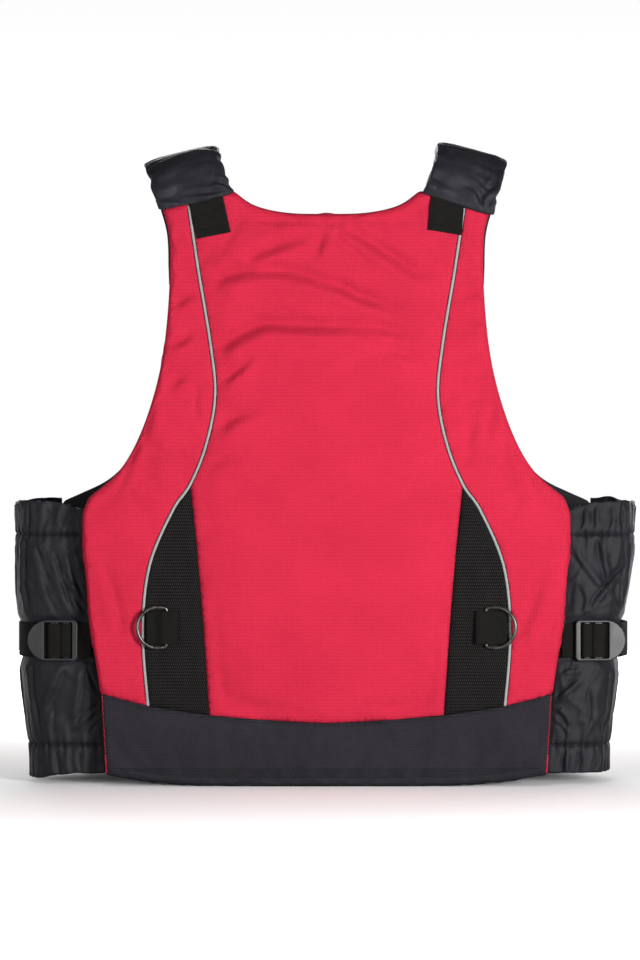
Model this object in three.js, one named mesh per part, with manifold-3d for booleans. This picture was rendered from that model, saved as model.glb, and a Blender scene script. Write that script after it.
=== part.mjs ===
// A paddling life jacket: foam back panel, two foam front halves joined by a zip, gathered nylon
// sides, padded shoulder sleeves, webbing straps with ladder-lock buckles, and two back D-rings.
// Millimetres. +Z is up, the wearer's back is at -Y, the wearer's right is at +X.
// The origin is the middle of the bounding box, on the surface that the hems stand on.
import * as THREE from "three";
import { mergeVertices } from "three/addons/utils/BufferGeometryUtils.js";
import Module from "manifold-3d";

const wasm = await Module();
wasm.setup();

// ---- driving dimensions -------------------------------------------------------------------
const COVER = 1.6; // thickness of a fabric cover
const GAP = 0.4; // clearance between neighbouring pieces
const BACK_Y = -85; // outer face of the back panel
const FRONT_Y = 80; // outer face of the front panels
const PANEL_DEPTH = 30; // thickness of a foam panel with its covers
const WEB = 1.4; // webbing thickness
const WEB_WIDTH = 27;
const STRAP_Z = 113.5; // height of the side straps and the waist belt
const PIPING_R = 1.3;
const RING_WIRE = 1.5; // radius of the D-ring's wire
const LOCK_LENGTH = 39.6; // ladder-lock buckle
const LOCK_WIDTH = 32;
const LOCK_DEPTH = 3;
const ZIP_BOTTOM = 22;
const ZIP_TOP = 366;
const SLEEVE_WIDTH = 60;
const SLEEVE_DEPTH = 15;
const SHOULDER_TILT = THREE.MathUtils.degToRad(17);
const SHOULDER = [101, 457.5]; // x and z of the middle of the back panel's shoulder edge

// ---- outlines, right half, as [x, z] ------------------------------------------------------
const HEM = [[0, 0], [100, 0], [173, 9]];
const SIDE_EDGE = [[173, 9], [177, 74], [185, 125], [188, 160], [190.6, 190], [190.6, 214]];
const ARMHOLE = [[186, 226], [161, 248], [143, 282], [129.5, 329], [123.5, 380], [123, 426], [129, 449]];
const NECK = [[73, 466], [57, 454], [32, 448], [0, 448]];
const BAND_TOP = [[0, 49.5], [91.5, 56], [137, 62.6], [177, 73]];
const PIPING = [[107.2, 452], [100, 403], [90.5, 345], [87, 305], [94, 267], [120.4, 215], [138.3, 172],
  [142.8, 120], [136.3, 63.4]];
const MESH_APEX = [106.2, 232];
const MESH_FOOT = [91.5, 56];

const FRONT_EDGE_X = 9; // the zip edge of a front panel
const FRONT_HEM = [[9, 0], [100, 0], [204, 9]];
const FRONT_SIDE = [[204, 9], [216, 222]];
const FRONT_ARMHOLE = [[205, 235], [182, 248], [152, 282], [134, 330], [127, 380], [129, 417]];
const FRONT_NECK = [[73, 434], [60, 428], [38, 398], [20, 378], [9, 368]];
const FRONT_BAND = [[9, 49.5], [91.5, 56], [150, 64], [207.6, 73]];

// Centre line of the shoulder strap, seen from the side, as [y, height above the shoulder edge].
const ARCH = [[-86.2, -26], [-86.2, -8], [-85.6, 6], [-79, 22], [-60, 31], [-30, 33], [0, 33], [30, 30],
  [56, 22], [73, 6], [82, -12], [83.7, -28.4]];

// ---- materials ----------------------------------------------------------------------------
const LOOKS = {
  red_nylon: [0xe43350, 0.7, 0],
  black_mesh: [0x27241f, 0.85, 0],
  navy_nylon: [0x2f2e33, 0.5, 0],
  reflective: [0xb9bfbd, 0.35, 0],
  webbing: [0x23211f, 0.8, 0],
  foam: [0xd8d6cf, 0.9, 0],
  lining: [0x222226, 0.8, 0],
  elastic: [0x1c1c1e, 0.9, 0],
  ring: [0x3a3835, 0.3, 0.9],
  plastic: [0x2b2b2a, 0.4, 0],
  zip_tape: [0x1a1a1b, 0.85, 0],
};

const jacket = new THREE.Group();

function add(name, geometry, look) {
  const [color, roughness, metalness] = LOOKS[look];
  const mesh = new THREE.Mesh(geometry, new THREE.MeshStandardMaterial({ color, roughness, metalness }));
  mesh.name = name;
  jacket.add(mesh);
}

// ---- helpers ------------------------------------------------------------------------------
const smooth = (points, steps) =>
  new THREE.SplineCurve(points.map(([x, y]) => new THREE.Vector2(x, y)))
    .getPoints(steps)
    .map((p) => [p.x, p.y]);

const flip = (points, side) => points.map(([x, z]) => [side * x, z]);

// Moves an open line sideways, to the left of its direction of travel.
function shift(line, distance) {
  return line.map(([x, y], i) => {
    const [ax, ay] = line[Math.max(i - 1, 0)];
    const [bx, by] = line[Math.min(i + 1, line.length - 1)];
    const length = Math.hypot(bx - ax, by - ay);
    return [x - (distance * (by - ay)) / length, y + (distance * (bx - ax)) / length];
  });
}

// Shrinks a closed outline by a margin, with mitred corners.
function inset(outline, margin) {
  const turn = Math.sign(THREE.ShapeUtils.area(outline.map(([x, y]) => new THREE.Vector2(x, y))));
  const count = outline.length;
  return outline.map(([x, y], i) => {
    const [ax, ay] = outline[(i + count - 1) % count];
    const [bx, by] = outline[(i + 1) % count];
    const before = new THREE.Vector2(ay - y, x - ax).normalize();
    const after = new THREE.Vector2(y - by, bx - x).normalize();
    const k = (turn * margin) / (1 + before.dot(after));
    return [x + k * (before.x + after.x), y + k * (before.y + after.y)];
  });
}

const shapeOf = (outline) => new THREE.Shape(outline.map(([x, y]) => new THREE.Vector2(x, y)));

// A flat plate in the XZ plane, between two depths.
function plate(outline, y0, y1) {
  const geometry = new THREE.ExtrudeGeometry(shapeOf(outline), { depth: y1 - y0, bevelEnabled: false });
  return geometry.rotateX(Math.PI / 2).translate(0, y1, 0);
}

// The wall round a plate's edge, between two depths.
const wall = (outline, y0, y1) => cut(plate(outline, y0, y1), plate(inset(outline, COVER), y0 - 1, y1 + 1));

// Moves every vertex of a geometry by a function, and keeps its faces pointing out.
function bend(source, place) {
  const geometry = source.index ? source.toNonIndexed() : source;
  const position = geometry.getAttribute("position");
  const point = new THREE.Vector3();
  for (let i = 0; i < position.count; i++) {
    point.fromBufferAttribute(position, i);
    const moved = place(point.x, point.y, point.z);
    position.setXYZ(i, ...moved);
  }
  const [a, b, c] = [new THREE.Vector3(), new THREE.Vector3(), new THREE.Vector3()];
  let volume = 0;
  for (let i = 0; i < position.count; i += 3) {
    a.fromBufferAttribute(position, i);
    b.fromBufferAttribute(position, i + 1);
    c.fromBufferAttribute(position, i + 2);
    volume += a.dot(b.cross(c));
  }
  if (volume < 0) {
    for (let i = 0; i < position.count; i += 3) {
      b.fromBufferAttribute(position, i + 1);
      c.fromBufferAttribute(position, i + 2);
      position.setXYZ(i + 1, c.x, c.y, c.z);
      position.setXYZ(i + 2, b.x, b.y, b.z);
    }
  }
  geometry.computeVertexNormals();
  return geometry;
}

// Joins closed solids into one, or cuts the others out of the first.
function combine(operation, geometries) {
  const solids = geometries.map((geometry) => {
    const bare = geometry.clone();
    bare.deleteAttribute("normal");
    bare.deleteAttribute("uv");
    const merged = mergeVertices(bare, 1e-3);
    const mesh = { numProp: 3, vertProperties: merged.attributes.position.array };
    mesh.triVerts = new Uint32Array(merged.index.array);
    return new wasm.Manifold(new wasm.Mesh(mesh));
  });
  const mesh = solids.reduce((whole, next) => whole[operation](next)).getMesh();
  const result = new THREE.BufferGeometry();
  result.setAttribute("position", new THREE.BufferAttribute(mesh.vertProperties, 3));
  result.setIndex(new THREE.BufferAttribute(mesh.triVerts, 1));
  return result.toNonIndexed();
}

const join = (...geometries) => combine("add", geometries);
const cut = (...geometries) => combine("subtract", geometries);

function box(x0, x1, y0, y1, z0, z1) {
  const geometry = new THREE.BoxGeometry(x1 - x0, y1 - y0, z1 - z0);
  return geometry.translate((x0 + x1) / 2, (y0 + y1) / 2, (z0 + z1) / 2);
}

// The outline of a band of webbing that follows a line.
const bandOutline = (line, thickness) => [
  ...shift(line, thickness / 2),
  ...shift(line, -thickness / 2).reverse(),
];

// ---- back panel ---------------------------------------------------------------------------
const armhole = smooth(ARMHOLE, 12);
const halfBack = [...HEM, ...SIDE_EDGE.slice(1), ...armhole, ...NECK];
const backOutline = [...halfBack, ...flip(halfBack.slice(1, -1), -1).reverse()];
const piping = smooth(PIPING, 24);
const outsidePiping = shift(piping, PIPING_R + GAP);
const insidePiping = shift(piping, -PIPING_R - GAP);
const BACK_INNER = BACK_Y + PANEL_DEPTH;

const halfCentre = [
  [0, 448],
  [32, 448],
  [57, 454],
  [73, 466],
  [105.6, 456.1],
  ...insidePiping.filter(([, z]) => z > MESH_APEX[1] + 4),
  [MESH_APEX[0] - 0.2, MESH_APEX[1]],
  [MESH_FOOT[0] - 0.2, MESH_FOOT[1] + 0.2],
  [0, BAND_TOP[0][1] + 0.2],
];
const centre = [...halfCentre, ...flip(halfCentre.slice(1, -1), -1).reverse()];
add("back_center_panel", plate(centre, BACK_Y, BACK_Y + COVER), "red_nylon");

const halfBand = [...BAND_TOP.map(([x, z]) => [x, z - 0.2]), ...[...HEM].reverse()];
const band = [...halfBand, ...flip(halfBand.slice(1, -1), -1).reverse()];
add("back_hem_band", plate(band, BACK_Y, BACK_Y + COVER), "navy_nylon");

add("back_gusset", wall(backOutline, BACK_Y + COVER + GAP, BACK_INNER - COVER - GAP), "red_nylon");
add(
  "back_foam",
  plate(inset(backOutline, COVER + GAP), BACK_Y + COVER + GAP, BACK_INNER - COVER - GAP),
  "foam",
);
add("back_lining", plate(backOutline, BACK_INNER - COVER, BACK_INNER), "lining");

const sidePanel = [
  [109.3, 454.9],
  ...outsidePiping.slice(1, -1),
  [138.2, 63.4],
  [177, 73.4],
  ...SIDE_EDGE.slice(1),
  ...armhole,
];
const meshWedge = [
  [MESH_APEX[0] + 0.3, MESH_APEX[1] - 4],
  [MESH_FOOT[0] + 0.3, MESH_FOOT[1] + 0.4],
  [133, 62.4],
  ...insidePiping.filter(([, z]) => z > 64 && z < MESH_APEX[1] - 3).reverse(),
];

// ---- back D-ring: a straight bar held in a folded webbing tab, and a round bow ----------------
const RING_X = 124.5;
const RING_Y = -88.4;
const RING_Z = 124.5;
const BAR_HALF = 15.75;
const BOW = 23;
const RING_TILT = Math.asin(3.1 / BOW);
const TAB = [[140.6, -86], [118.4, -86], [116.6, -86.9], [116.1, -88.4], [116.6, -89.9], [118.4, -90.8],
  [126.6, -90.8], [129.4, -89.6], [132.6, -87.9], [135.4, -87.6], [140.6, -87.6]];

// A point on the ring's centre line for an angle, measured from the bow's tip.
function ringPoint(angle) {
  const z = Math.sin(angle) * BAR_HALF;
  const reach = Math.cos(angle) > 0 ? Math.cos(angle) * BOW : 0;
  return new THREE.Vector2(reach, z);
}

function ringGeometry(side) {
  const torus = new THREE.TorusGeometry(BAR_HALF, RING_WIRE, 8, 32);
  return bend(torus, (x, y, z) => {
    const angle = Math.atan2(y, x);
    const radial = Math.hypot(x, y) - BAR_HALF;
    let centre = ringPoint(angle);
    if (Math.cos(angle) < 0) centre.y = BAR_HALF * Math.sign(y) * Math.pow(Math.abs(Math.sin(angle)), 0.7);
    const out = new THREE.Vector2(Math.cos(angle) * 0.8 + 0.0001, Math.sin(angle)).normalize();
    if (Math.cos(angle) < -0.3) out.set(-1, 0);
    const flatX = centre.x + out.x * radial;
    const flatZ = centre.y + out.y * radial;
    const reach = flatX * Math.cos(RING_TILT) - z * Math.sin(RING_TILT);
    const rise = flatX * Math.sin(RING_TILT) + z * Math.cos(RING_TILT);
    return [side * (RING_X + reach), RING_Y - rise, RING_Z + flatZ];
  });
}

// ---- ladder-lock buckle -------------------------------------------------------------------
// Built flat: a is the length from the fixed end to the thumb tab, b the width, c the outward rise.
const LOCK_WINDOW = [4.2, 26.6];
const LOCK_BARS = [[7.2, 11.4], [15.6, 21.6]];
const WEAVE = [[0.6, -2.6], [4.2, -2.5], [5.4, -1.6], [5.9, 0], [6.9, 1.2], [9.3, 1.6], [11.9, 1.2],
  [13.4, 0.5], [15, 1.2], [18.6, 1.6], [22.2, 1.2], [23.6, 0], [24.2, -1.6], [25.6, -2.5], [37, -2.6]];

function lockFrame() {
  const half = LOCK_WIDTH / 2;
  const middle = LOCK_LENGTH - half;
  const outline = new THREE.Shape();
  outline.moveTo(0, -half + 3);
  outline.lineTo(1.5, -half + 1);
  outline.absarc(middle, 0, half, -Math.PI / 2, Math.PI / 2, false);
  outline.lineTo(1.5, half - 1);
  outline.lineTo(0, half - 3);
  const [a0, a1] = LOCK_WINDOW;
  const b1 = WEB_WIDTH / 2 + 0.5;
  outline.holes.push(shapeOf([[a0, -b1], [a1, -b1], [a1, b1], [a0, b1]]));
  const rim = new THREE.ExtrudeGeometry(outline, {
    depth: LOCK_DEPTH,
    bevelEnabled: false,
    curveSegments: 14,
  });
  rim.translate(0, 0, -LOCK_DEPTH / 2);
  const bars = LOCK_BARS.map(([from, to]) => box(from, to, -b1 - 0.6, b1 + 0.6, -LOCK_DEPTH / 2 + 0.1, 0));
  return join(rim, ...bars);
}

function lockWeb() {
  const geometry = new THREE.ExtrudeGeometry(shapeOf(bandOutline(smooth(WEAVE, 42), WEB)), {
    depth: WEB_WIDTH,
    bevelEnabled: false,
  });
  return bend(geometry, (a, c, b) => [a, b - WEB_WIDTH / 2, c]);
}

// ---- gathered nylon side ------------------------------------------------------------------
const SIDE_LEVELS = [10, 42, 74, 100, 127, 160, 190, 222];
const widest = (z) => 232 + 17 * Math.pow((z - 10) / 212, 1.5);

function along(line, z) {
  const i = Math.max(1, line.findIndex(([, lz]) => lz >= z));
  const [x0, z0] = line[i - 1];
  const [x1, z1] = line[i];
  return x0 + ((x1 - x0) * (z - z0)) / (z1 - z0);
}

// The side's plan line at a height, from the back panel's seam round to the front panel's seam.
function sideLine(z) {
  const back = along(SIDE_EDGE, Math.min(Math.max(z, 9.5), 213)) + 1;
  const front = along(FRONT_SIDE, z) + 1;
  const wide = widest(z);
  const points = [
    [back, -62],
    [back + 0.72 * (wide - back), -57.5],
    [wide - 3, -36],
    [wide, -5],
    [front + 0.72 * (wide - front), 36],
    [front, 53],
  ];
  return new THREE.SplineCurve(points.map(([x, y]) => new THREE.Vector2(x, y)));
}

// A band of fabric on the side: from start to end along the plan line, between two offsets.
function sideBand(side, levels, start, end, inner, outer, steps) {
  const rows = levels.length - 1;
  const curves = levels.map(sideLine);
  const sheet = new THREE.BoxGeometry(steps, 1, rows, steps, 1, rows);
  return bend(sheet, (x, y, z) => {
    const row = Math.round(z + rows / 2);
    const t = start + ((end - start) * (x + steps / 2)) / steps;
    const point = curves[row].getPoint(t);
    const tangent = curves[row].getTangent(t);
    const offset = y < 0 ? inner : outer;
    return [side * (point.x + tangent.y * offset), point.y - tangent.x * offset, levels[row]];
  });
}

// ---- shoulder strap -----------------------------------------------------------------------
const archCurve = new THREE.SplineCurve(ARCH.map(([y, w]) => new THREE.Vector2(y, w)));

// From the tilted shoulder frame (across, depth, up) to the jacket's frame.
const fromShoulder = (side, u, y, w) => [
  side * (SHOULDER[0] + u * Math.cos(SHOULDER_TILT) + w * Math.sin(SHOULDER_TILT)),
  y,
  SHOULDER[1] - u * Math.sin(SHOULDER_TILT) + w * Math.cos(SHOULDER_TILT),
];

// The place along the arch where it crosses a height, on the back or on the front.
function archAt(height, front) {
  const steps = 2000;
  for (let i = 0; i <= steps; i++) {
    const t = front ? 1 - i / steps : i / steps;
    if (archCurve.getPoint(t).y >= height) return t;
  }
  return 0;
}

function onArch(side, u, t, rise) {
  const point = archCurve.getPoint(t);
  const tangent = archCurve.getTangent(t);
  return fromShoulder(side, u, point.x - tangent.y * rise, point.y + tangent.x * rise);
}

function sleeve(side) {
  const rounded = (width, depth, corner) => {
    const [w, d] = [width / 2, depth / 2];
    const steps = 3;
    const points = [];
    for (const [cx, cy, from] of [[w - corner, d - corner, 0], [corner - w, d - corner, 1],
      [corner - w, corner - d, 2], [w - corner, corner - d, 3]]) {
      for (let i = 0; i <= steps; i++) {
        const a = ((from + i / steps) * Math.PI) / 2;
        points.push([cx + corner * Math.cos(a), cy + corner * Math.sin(a)]);
      }
    }
    return points;
  };
  const shape = shapeOf(rounded(SLEEVE_WIDTH, SLEEVE_DEPTH, 6));
  const slot = [[-24, -2.4], [-24, 2.4], [9, 2.4], [9, -2.4]];
  shape.holes.push(new THREE.Path(slot.map(([x, y]) => new THREE.Vector2(x, y))));
  const geometry = new THREE.ExtrudeGeometry(shape, { depth: 1, steps: 22, bevelEnabled: false });
  const [from, to] = [archAt(1.2, false), archAt(-25, true)];
  return bend(geometry, (x, y, z) => onArch(side, x + 1.5, from + (to - from) * z, y));
}

function shoulderWebbing(side) {
  const strip = new THREE.BoxGeometry(WEB_WIDTH, WEB, 1, 1, 1, 36);
  return bend(strip, (x, y, z) => onArch(side, x - 7, z + 0.5, y));
}

// ---- placing a ladder-lock ------------------------------------------------------------------
const SIDE_LOCK = { x: 195.4, y: -68.2, turn: Math.atan2(4, LOCK_LENGTH) };
const onSideLock = (side, a, b, c) => [
  side * (SIDE_LOCK.x + a * Math.cos(SIDE_LOCK.turn) + c * Math.sin(SIDE_LOCK.turn)),
  SIDE_LOCK.y + a * Math.sin(SIDE_LOCK.turn) - c * Math.cos(SIDE_LOCK.turn),
  STRAP_Z + b,
];
const SHOULDER_LOCK = { u: -7, y: 86.6, w: -33 };
const onShoulderLock = (side, a, b, c) =>
  fromShoulder(side, SHOULDER_LOCK.u + b, SHOULDER_LOCK.y + c, SHOULDER_LOCK.w - a);

// ---- front half ---------------------------------------------------------------------------
const frontArmhole = smooth(FRONT_ARMHOLE, 12);
const frontOutline = [...FRONT_HEM, FRONT_SIDE[1], ...frontArmhole, ...FRONT_NECK];
const frontCover = [
  ...FRONT_BAND.map(([x, z]) => [x, z + 0.2]),
  FRONT_SIDE[1],
  ...frontArmhole,
  ...FRONT_NECK,
];
const frontBand = [...FRONT_BAND.map(([x, z]) => [x, z - 0.2]), ...[...FRONT_HEM].reverse()];
const FRONT_INNER = FRONT_Y - PANEL_DEPTH;

for (const [name, side] of [["left", -1], ["right", 1]]) {
  // back
  add(`back_side_panel_${name}`, plate(flip(sidePanel, side), BACK_Y, BACK_Y + COVER), "red_nylon");
  add(`back_mesh_${name}`, plate(flip(meshWedge, side), BACK_Y, BACK_Y + COVER), "black_mesh");
  const seam = new THREE.CatmullRomCurve3(
    PIPING.map(([x, z]) => new THREE.Vector3(side * x, BACK_Y - 0.2, z)),
  );
  const round = new THREE.Shape().absarc(0, 0, PIPING_R, 0, 2 * Math.PI);
  const cord = { steps: 34, curveSegments: 4, bevelEnabled: false, extrudePath: seam };
  add(`reflective_piping_${name}`, new THREE.ExtrudeGeometry(round, cord), "reflective");

  // D-ring
  const tab = new THREE.ExtrudeGeometry(shapeOf(bandOutline(TAB, 1.2)), { depth: 26, bevelEnabled: false });
  add(`d_ring_tab_${name}`, bend(tab, (x, y, z) => [side * x, y, RING_Z - 13 + z]), "webbing");
  add(`d_ring_${name}`, ringGeometry(side), "ring");

  // shoulder
  add(`shoulder_webbing_${name}`, shoulderWebbing(side), "webbing");
  add(`shoulder_sleeve_${name}`, sleeve(side), "navy_nylon");

  // side
  add(`side_shell_${name}`, sideBand(side, SIDE_LEVELS, 0, 1, -0.75, 0.75, 20), "navy_nylon");
  add(`side_elastic_upper_${name}`, sideBand(side, [191, 203], 0.04, 0.96, -2.6, -1.4, 18), "elastic");
  add(`side_elastic_lower_${name}`, sideBand(side, [26, 38], 0.04, 0.96, -2.6, -1.4, 18), "elastic");
  add(`side_strap_fixed_${name}`, sideBand(side, [100, 127], 0.005, 0.09, 1.2, 2.6, 3), "webbing");
  add(`side_strap_long_${name}`, sideBand(side, [100, 127], 0.11, 0.995, 1.2, 2.6, 19), "webbing");
  add(`side_lock_${name}`, bend(lockFrame(), (a, b, c) => onSideLock(side, a, b, c)), "plastic");
  add(`side_lock_web_${name}`, bend(lockWeb(), (a, b, c) => onSideLock(side, a, b, c)), "webbing");

  // front
  const turned = (outline) => flip(outline, side);
  const foamFrom = FRONT_INNER + COVER + GAP;
  const foamTo = FRONT_Y - COVER - GAP;
  add(`front_cover_${name}`, plate(turned(frontCover), FRONT_Y - COVER, FRONT_Y), "red_nylon");
  add(`front_hem_band_${name}`, plate(turned(frontBand), FRONT_Y - COVER, FRONT_Y), "navy_nylon");
  add(`front_gusset_${name}`, wall(turned(frontOutline), foamFrom, foamTo), "red_nylon");
  add(`front_foam_${name}`, plate(inset(turned(frontOutline), COVER + GAP), foamFrom, foamTo), "foam");
  add(`front_lining_${name}`, plate(turned(frontOutline), FRONT_INNER, FRONT_INNER + COVER), "lining");

  // zip half
  const zipFoot = side > 0 ? ZIP_BOTTOM : ZIP_BOTTOM + 20;
  const [tapeIn, tapeOut] = [4.3, FRONT_EDGE_X - 0.4].map((x) => side * x).sort((a, b) => a - b);
  add(`zip_tape_${name}`, box(tapeIn, tapeOut, 78.1, 79.3, ZIP_BOTTOM - 6, ZIP_TOP), "zip_tape");
  const [teethIn, teethOut] = [1.2, 4].map((x) => side * x).sort((a, b) => a - b);
  add(`zip_teeth_${name}`, box(teethIn, teethOut, 77.2, 80.2, zipFoot, ZIP_TOP), "plastic");

  // shoulder adjuster on the front panel
  add(`shoulder_lock_${name}`, bend(lockFrame(), (a, b, c) => onShoulderLock(side, a, b, c)), "plastic");
  add(`shoulder_lock_web_${name}`, bend(lockWeb(), (a, b, c) => onShoulderLock(side, a, b, c)), "webbing");
  const adjuster = box(-WEB_WIDTH / 2, WEB_WIDTH / 2, FRONT_Y + 0.4, FRONT_Y + 0.4 + WEB, -130, -60);
  add(
    `front_strap_${name}`,
    bend(adjuster, (u, y, w) => fromShoulder(side, u + SHOULDER_LOCK.u, y, w)),
    "webbing",
  );

  // waist belt on the front panel
  const [from, to] = [side > 0 ? 22 : 32, 205].map((x) => side * x).sort((a, b) => a - b);
  const beltZ = [STRAP_Z - WEB_WIDTH / 2, STRAP_Z + WEB_WIDTH / 2];
  add(`waist_belt_${name}`, box(from, to, FRONT_Y + 0.4, FRONT_Y + 0.4 + WEB, ...beltZ), "webbing");
}

// ---- zip slider and pull, parked at the foot of the right chain -----------------------------------
const SLIDER_Z = ZIP_BOTTOM + 2;
add(
  "zip_slider",
  join(
    box(-5.4, 5.4, 80.6, 82.2, SLIDER_Z, SLIDER_Z + 14),
    box(-5.4, 5.4, 75.2, 76.8, SLIDER_Z, SLIDER_Z + 14),
    box(-0.8, 0.8, 76, 81, SLIDER_Z, SLIDER_Z + 14),
    box(-1, 1, 82, 84.4, SLIDER_Z + 8, SLIDER_Z + 13),
  ),
  "ring",
);
const PULL_Z = SLIDER_Z + 10.5;
add(
  "zip_pull",
  join(
    box(-2.8, -1.4, 82.9, 84.1, PULL_Z - 5, PULL_Z + 0.6),
    box(1.4, 2.8, 82.9, 84.1, PULL_Z - 5, PULL_Z + 0.6),
    box(-2.8, 2.8, 82.9, 84.1, PULL_Z - 24, PULL_Z - 4),
  ),
  "ring",
);

// ---- waist buckle, its two halves just apart --------------------------------------------------
const BUCKLE_Y = 89;
const MOUTH_X = -8;
const low = STRAP_Z - 17;
const high = STRAP_Z + 17;
add(
  "waist_buckle_female",
  join(
    box(MOUTH_X - 36, MOUTH_X, BUCKLE_Y - 4.5, BUCKLE_Y - 3, low, high),
    box(MOUTH_X - 36, MOUTH_X, BUCKLE_Y + 3, BUCKLE_Y + 4.5, low, high),
    box(MOUTH_X - 36, MOUTH_X - 24, BUCKLE_Y - 4.5, BUCKLE_Y + 4.5, low, high),
    box(MOUTH_X - 36, MOUTH_X, BUCKLE_Y - 4.5, BUCKLE_Y + 4.5, low, low + 2.5),
    box(MOUTH_X - 36, MOUTH_X, BUCKLE_Y - 4.5, BUCKLE_Y + 4.5, high - 2.5, high),
  ),
  "plastic",
);
const TIP_X = MOUTH_X + 1;
add(
  "waist_buckle_male",
  join(
    box(TIP_X, TIP_X + 21, BUCKLE_Y - 2, BUCKLE_Y + 2, low + 3.5, low + 8),
    box(TIP_X, TIP_X + 21, BUCKLE_Y - 1.5, BUCKLE_Y + 1.5, STRAP_Z - 2, STRAP_Z + 2),
    box(TIP_X, TIP_X + 21, BUCKLE_Y - 2, BUCKLE_Y + 2, high - 8, high - 3.5),
    box(TIP_X + 20.5, TIP_X + 27, BUCKLE_Y - 4, BUCKLE_Y + 4, low, high),
    box(TIP_X + 26.5, TIP_X + 40, BUCKLE_Y - 3, BUCKLE_Y + 3, low, low + 3),
    box(TIP_X + 26.5, TIP_X + 40, BUCKLE_Y - 3, BUCKLE_Y + 3, high - 3, high),
    box(TIP_X + 36, TIP_X + 40, BUCKLE_Y - 3, BUCKLE_Y + 3, low, high),
  ),
  "plastic",
);

export default jacket;
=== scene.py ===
"""Looks for a paddling life jacket: sewn covers over foam, gathered nylon sides, webbing and fittings.

Lengths in this file are millimetres in the row frame until mesh_object() makes them metres.
"""

import math

import bpy
import bmesh
import numpy as np
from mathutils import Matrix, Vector, noise
from mathutils.bvhtree import BVHTree
from mathutils.geometry import delaunay_2d_cdt


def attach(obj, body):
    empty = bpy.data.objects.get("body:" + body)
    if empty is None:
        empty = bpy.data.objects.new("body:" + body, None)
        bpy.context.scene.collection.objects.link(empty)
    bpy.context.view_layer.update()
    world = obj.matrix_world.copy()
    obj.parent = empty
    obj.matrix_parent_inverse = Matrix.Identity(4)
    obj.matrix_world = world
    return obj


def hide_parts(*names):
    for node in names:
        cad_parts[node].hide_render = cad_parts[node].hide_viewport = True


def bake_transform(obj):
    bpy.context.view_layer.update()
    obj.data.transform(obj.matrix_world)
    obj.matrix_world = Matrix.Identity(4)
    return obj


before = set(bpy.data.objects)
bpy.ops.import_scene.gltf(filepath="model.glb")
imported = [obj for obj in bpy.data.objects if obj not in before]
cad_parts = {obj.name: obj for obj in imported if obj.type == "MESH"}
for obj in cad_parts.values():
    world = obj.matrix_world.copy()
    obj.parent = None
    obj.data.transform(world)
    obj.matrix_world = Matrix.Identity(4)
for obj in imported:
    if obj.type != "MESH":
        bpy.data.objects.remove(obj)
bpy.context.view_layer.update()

# ---------------------------------------------------------------- camera and stage
MM = 0.001


def make_camera():
    data = bpy.data.cameras.new("camera")
    data.lens = 135
    data.clip_end = 50
    camera = bpy.data.objects.new("camera", data)
    bpy.context.scene.collection.objects.link(camera)
    camera.location = (-0.0051, -2.894, 0.2395)
    camera.rotation_euler = (math.radians(90), 0, 0)
    bpy.context.scene.camera = camera


def area_light(name, location, target, size, power, spread=180):
    """A round lamp: places and size in metres, power in watts, spread in degrees."""
    data = bpy.data.lights.new(name, "AREA")
    data.shape = "DISK"
    data.size = size
    data.spread = math.radians(spread)
    data.energy = power
    light = bpy.data.objects.new(name, data)
    bpy.context.scene.collection.objects.link(light)
    light.location = location
    light.rotation_euler = (Vector(target) - Vector(location)).to_track_quat("-Z", "Y").to_euler()


def pale_sky():
    """White at the horizon and dimmer overhead, so that the light on the cloth comes from the lamps."""
    world = bpy.data.worlds.new("studio")
    scene.world = world
    world.use_nodes = True
    sky = world.node_tree
    background = sky.nodes["Background"]
    background.inputs[0].default_value = (1, 1, 1, 1)
    direction = sky.nodes.new("ShaderNodeTexCoord")
    split = sky.nodes.new("ShaderNodeSeparateXYZ")
    fall = sky.nodes.new("ShaderNodeMapRange")
    for socket, value in (("From Min", 0.12), ("From Max", 0.6), ("To Min", 1.0), ("To Max", 0.15)):
        fall.inputs[socket].default_value = value
    sky.links.new(direction.outputs["Generated"], split.inputs[0])
    sky.links.new(split.outputs["Z"], fall.inputs["Value"])
    sky.links.new(fall.outputs[0], background.inputs[1])


make_camera()
scene = bpy.context.scene
scene.view_settings.view_transform = "Standard"
pale_sky()
MIDDLE = (0, 0, 0.25)
area_light("key", (1.15, -2.1, 0.34), (0.05, 0, 0.16), 0.55, 31, 95)
area_light("fill", (-1.7, -2.4, 0.5), (0, 0, 0.16), 0.9, 9.5, 95)
area_light("table", (0, -1.35, 1.7), (0, -1.35, 0), 0.9, 14, 74)
area_light("rear_table", (0, 1.6, 1.7), (0, 1.6, 0), 1.2, 25, 74)
area_light("rear_key", (-0.35, 2.9, 0.9), MIDDLE, 1.8, 62)
area_light("rear_fill", (1.4, 2.6, 0.9), MIDDLE, 1.6, 28)


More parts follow.
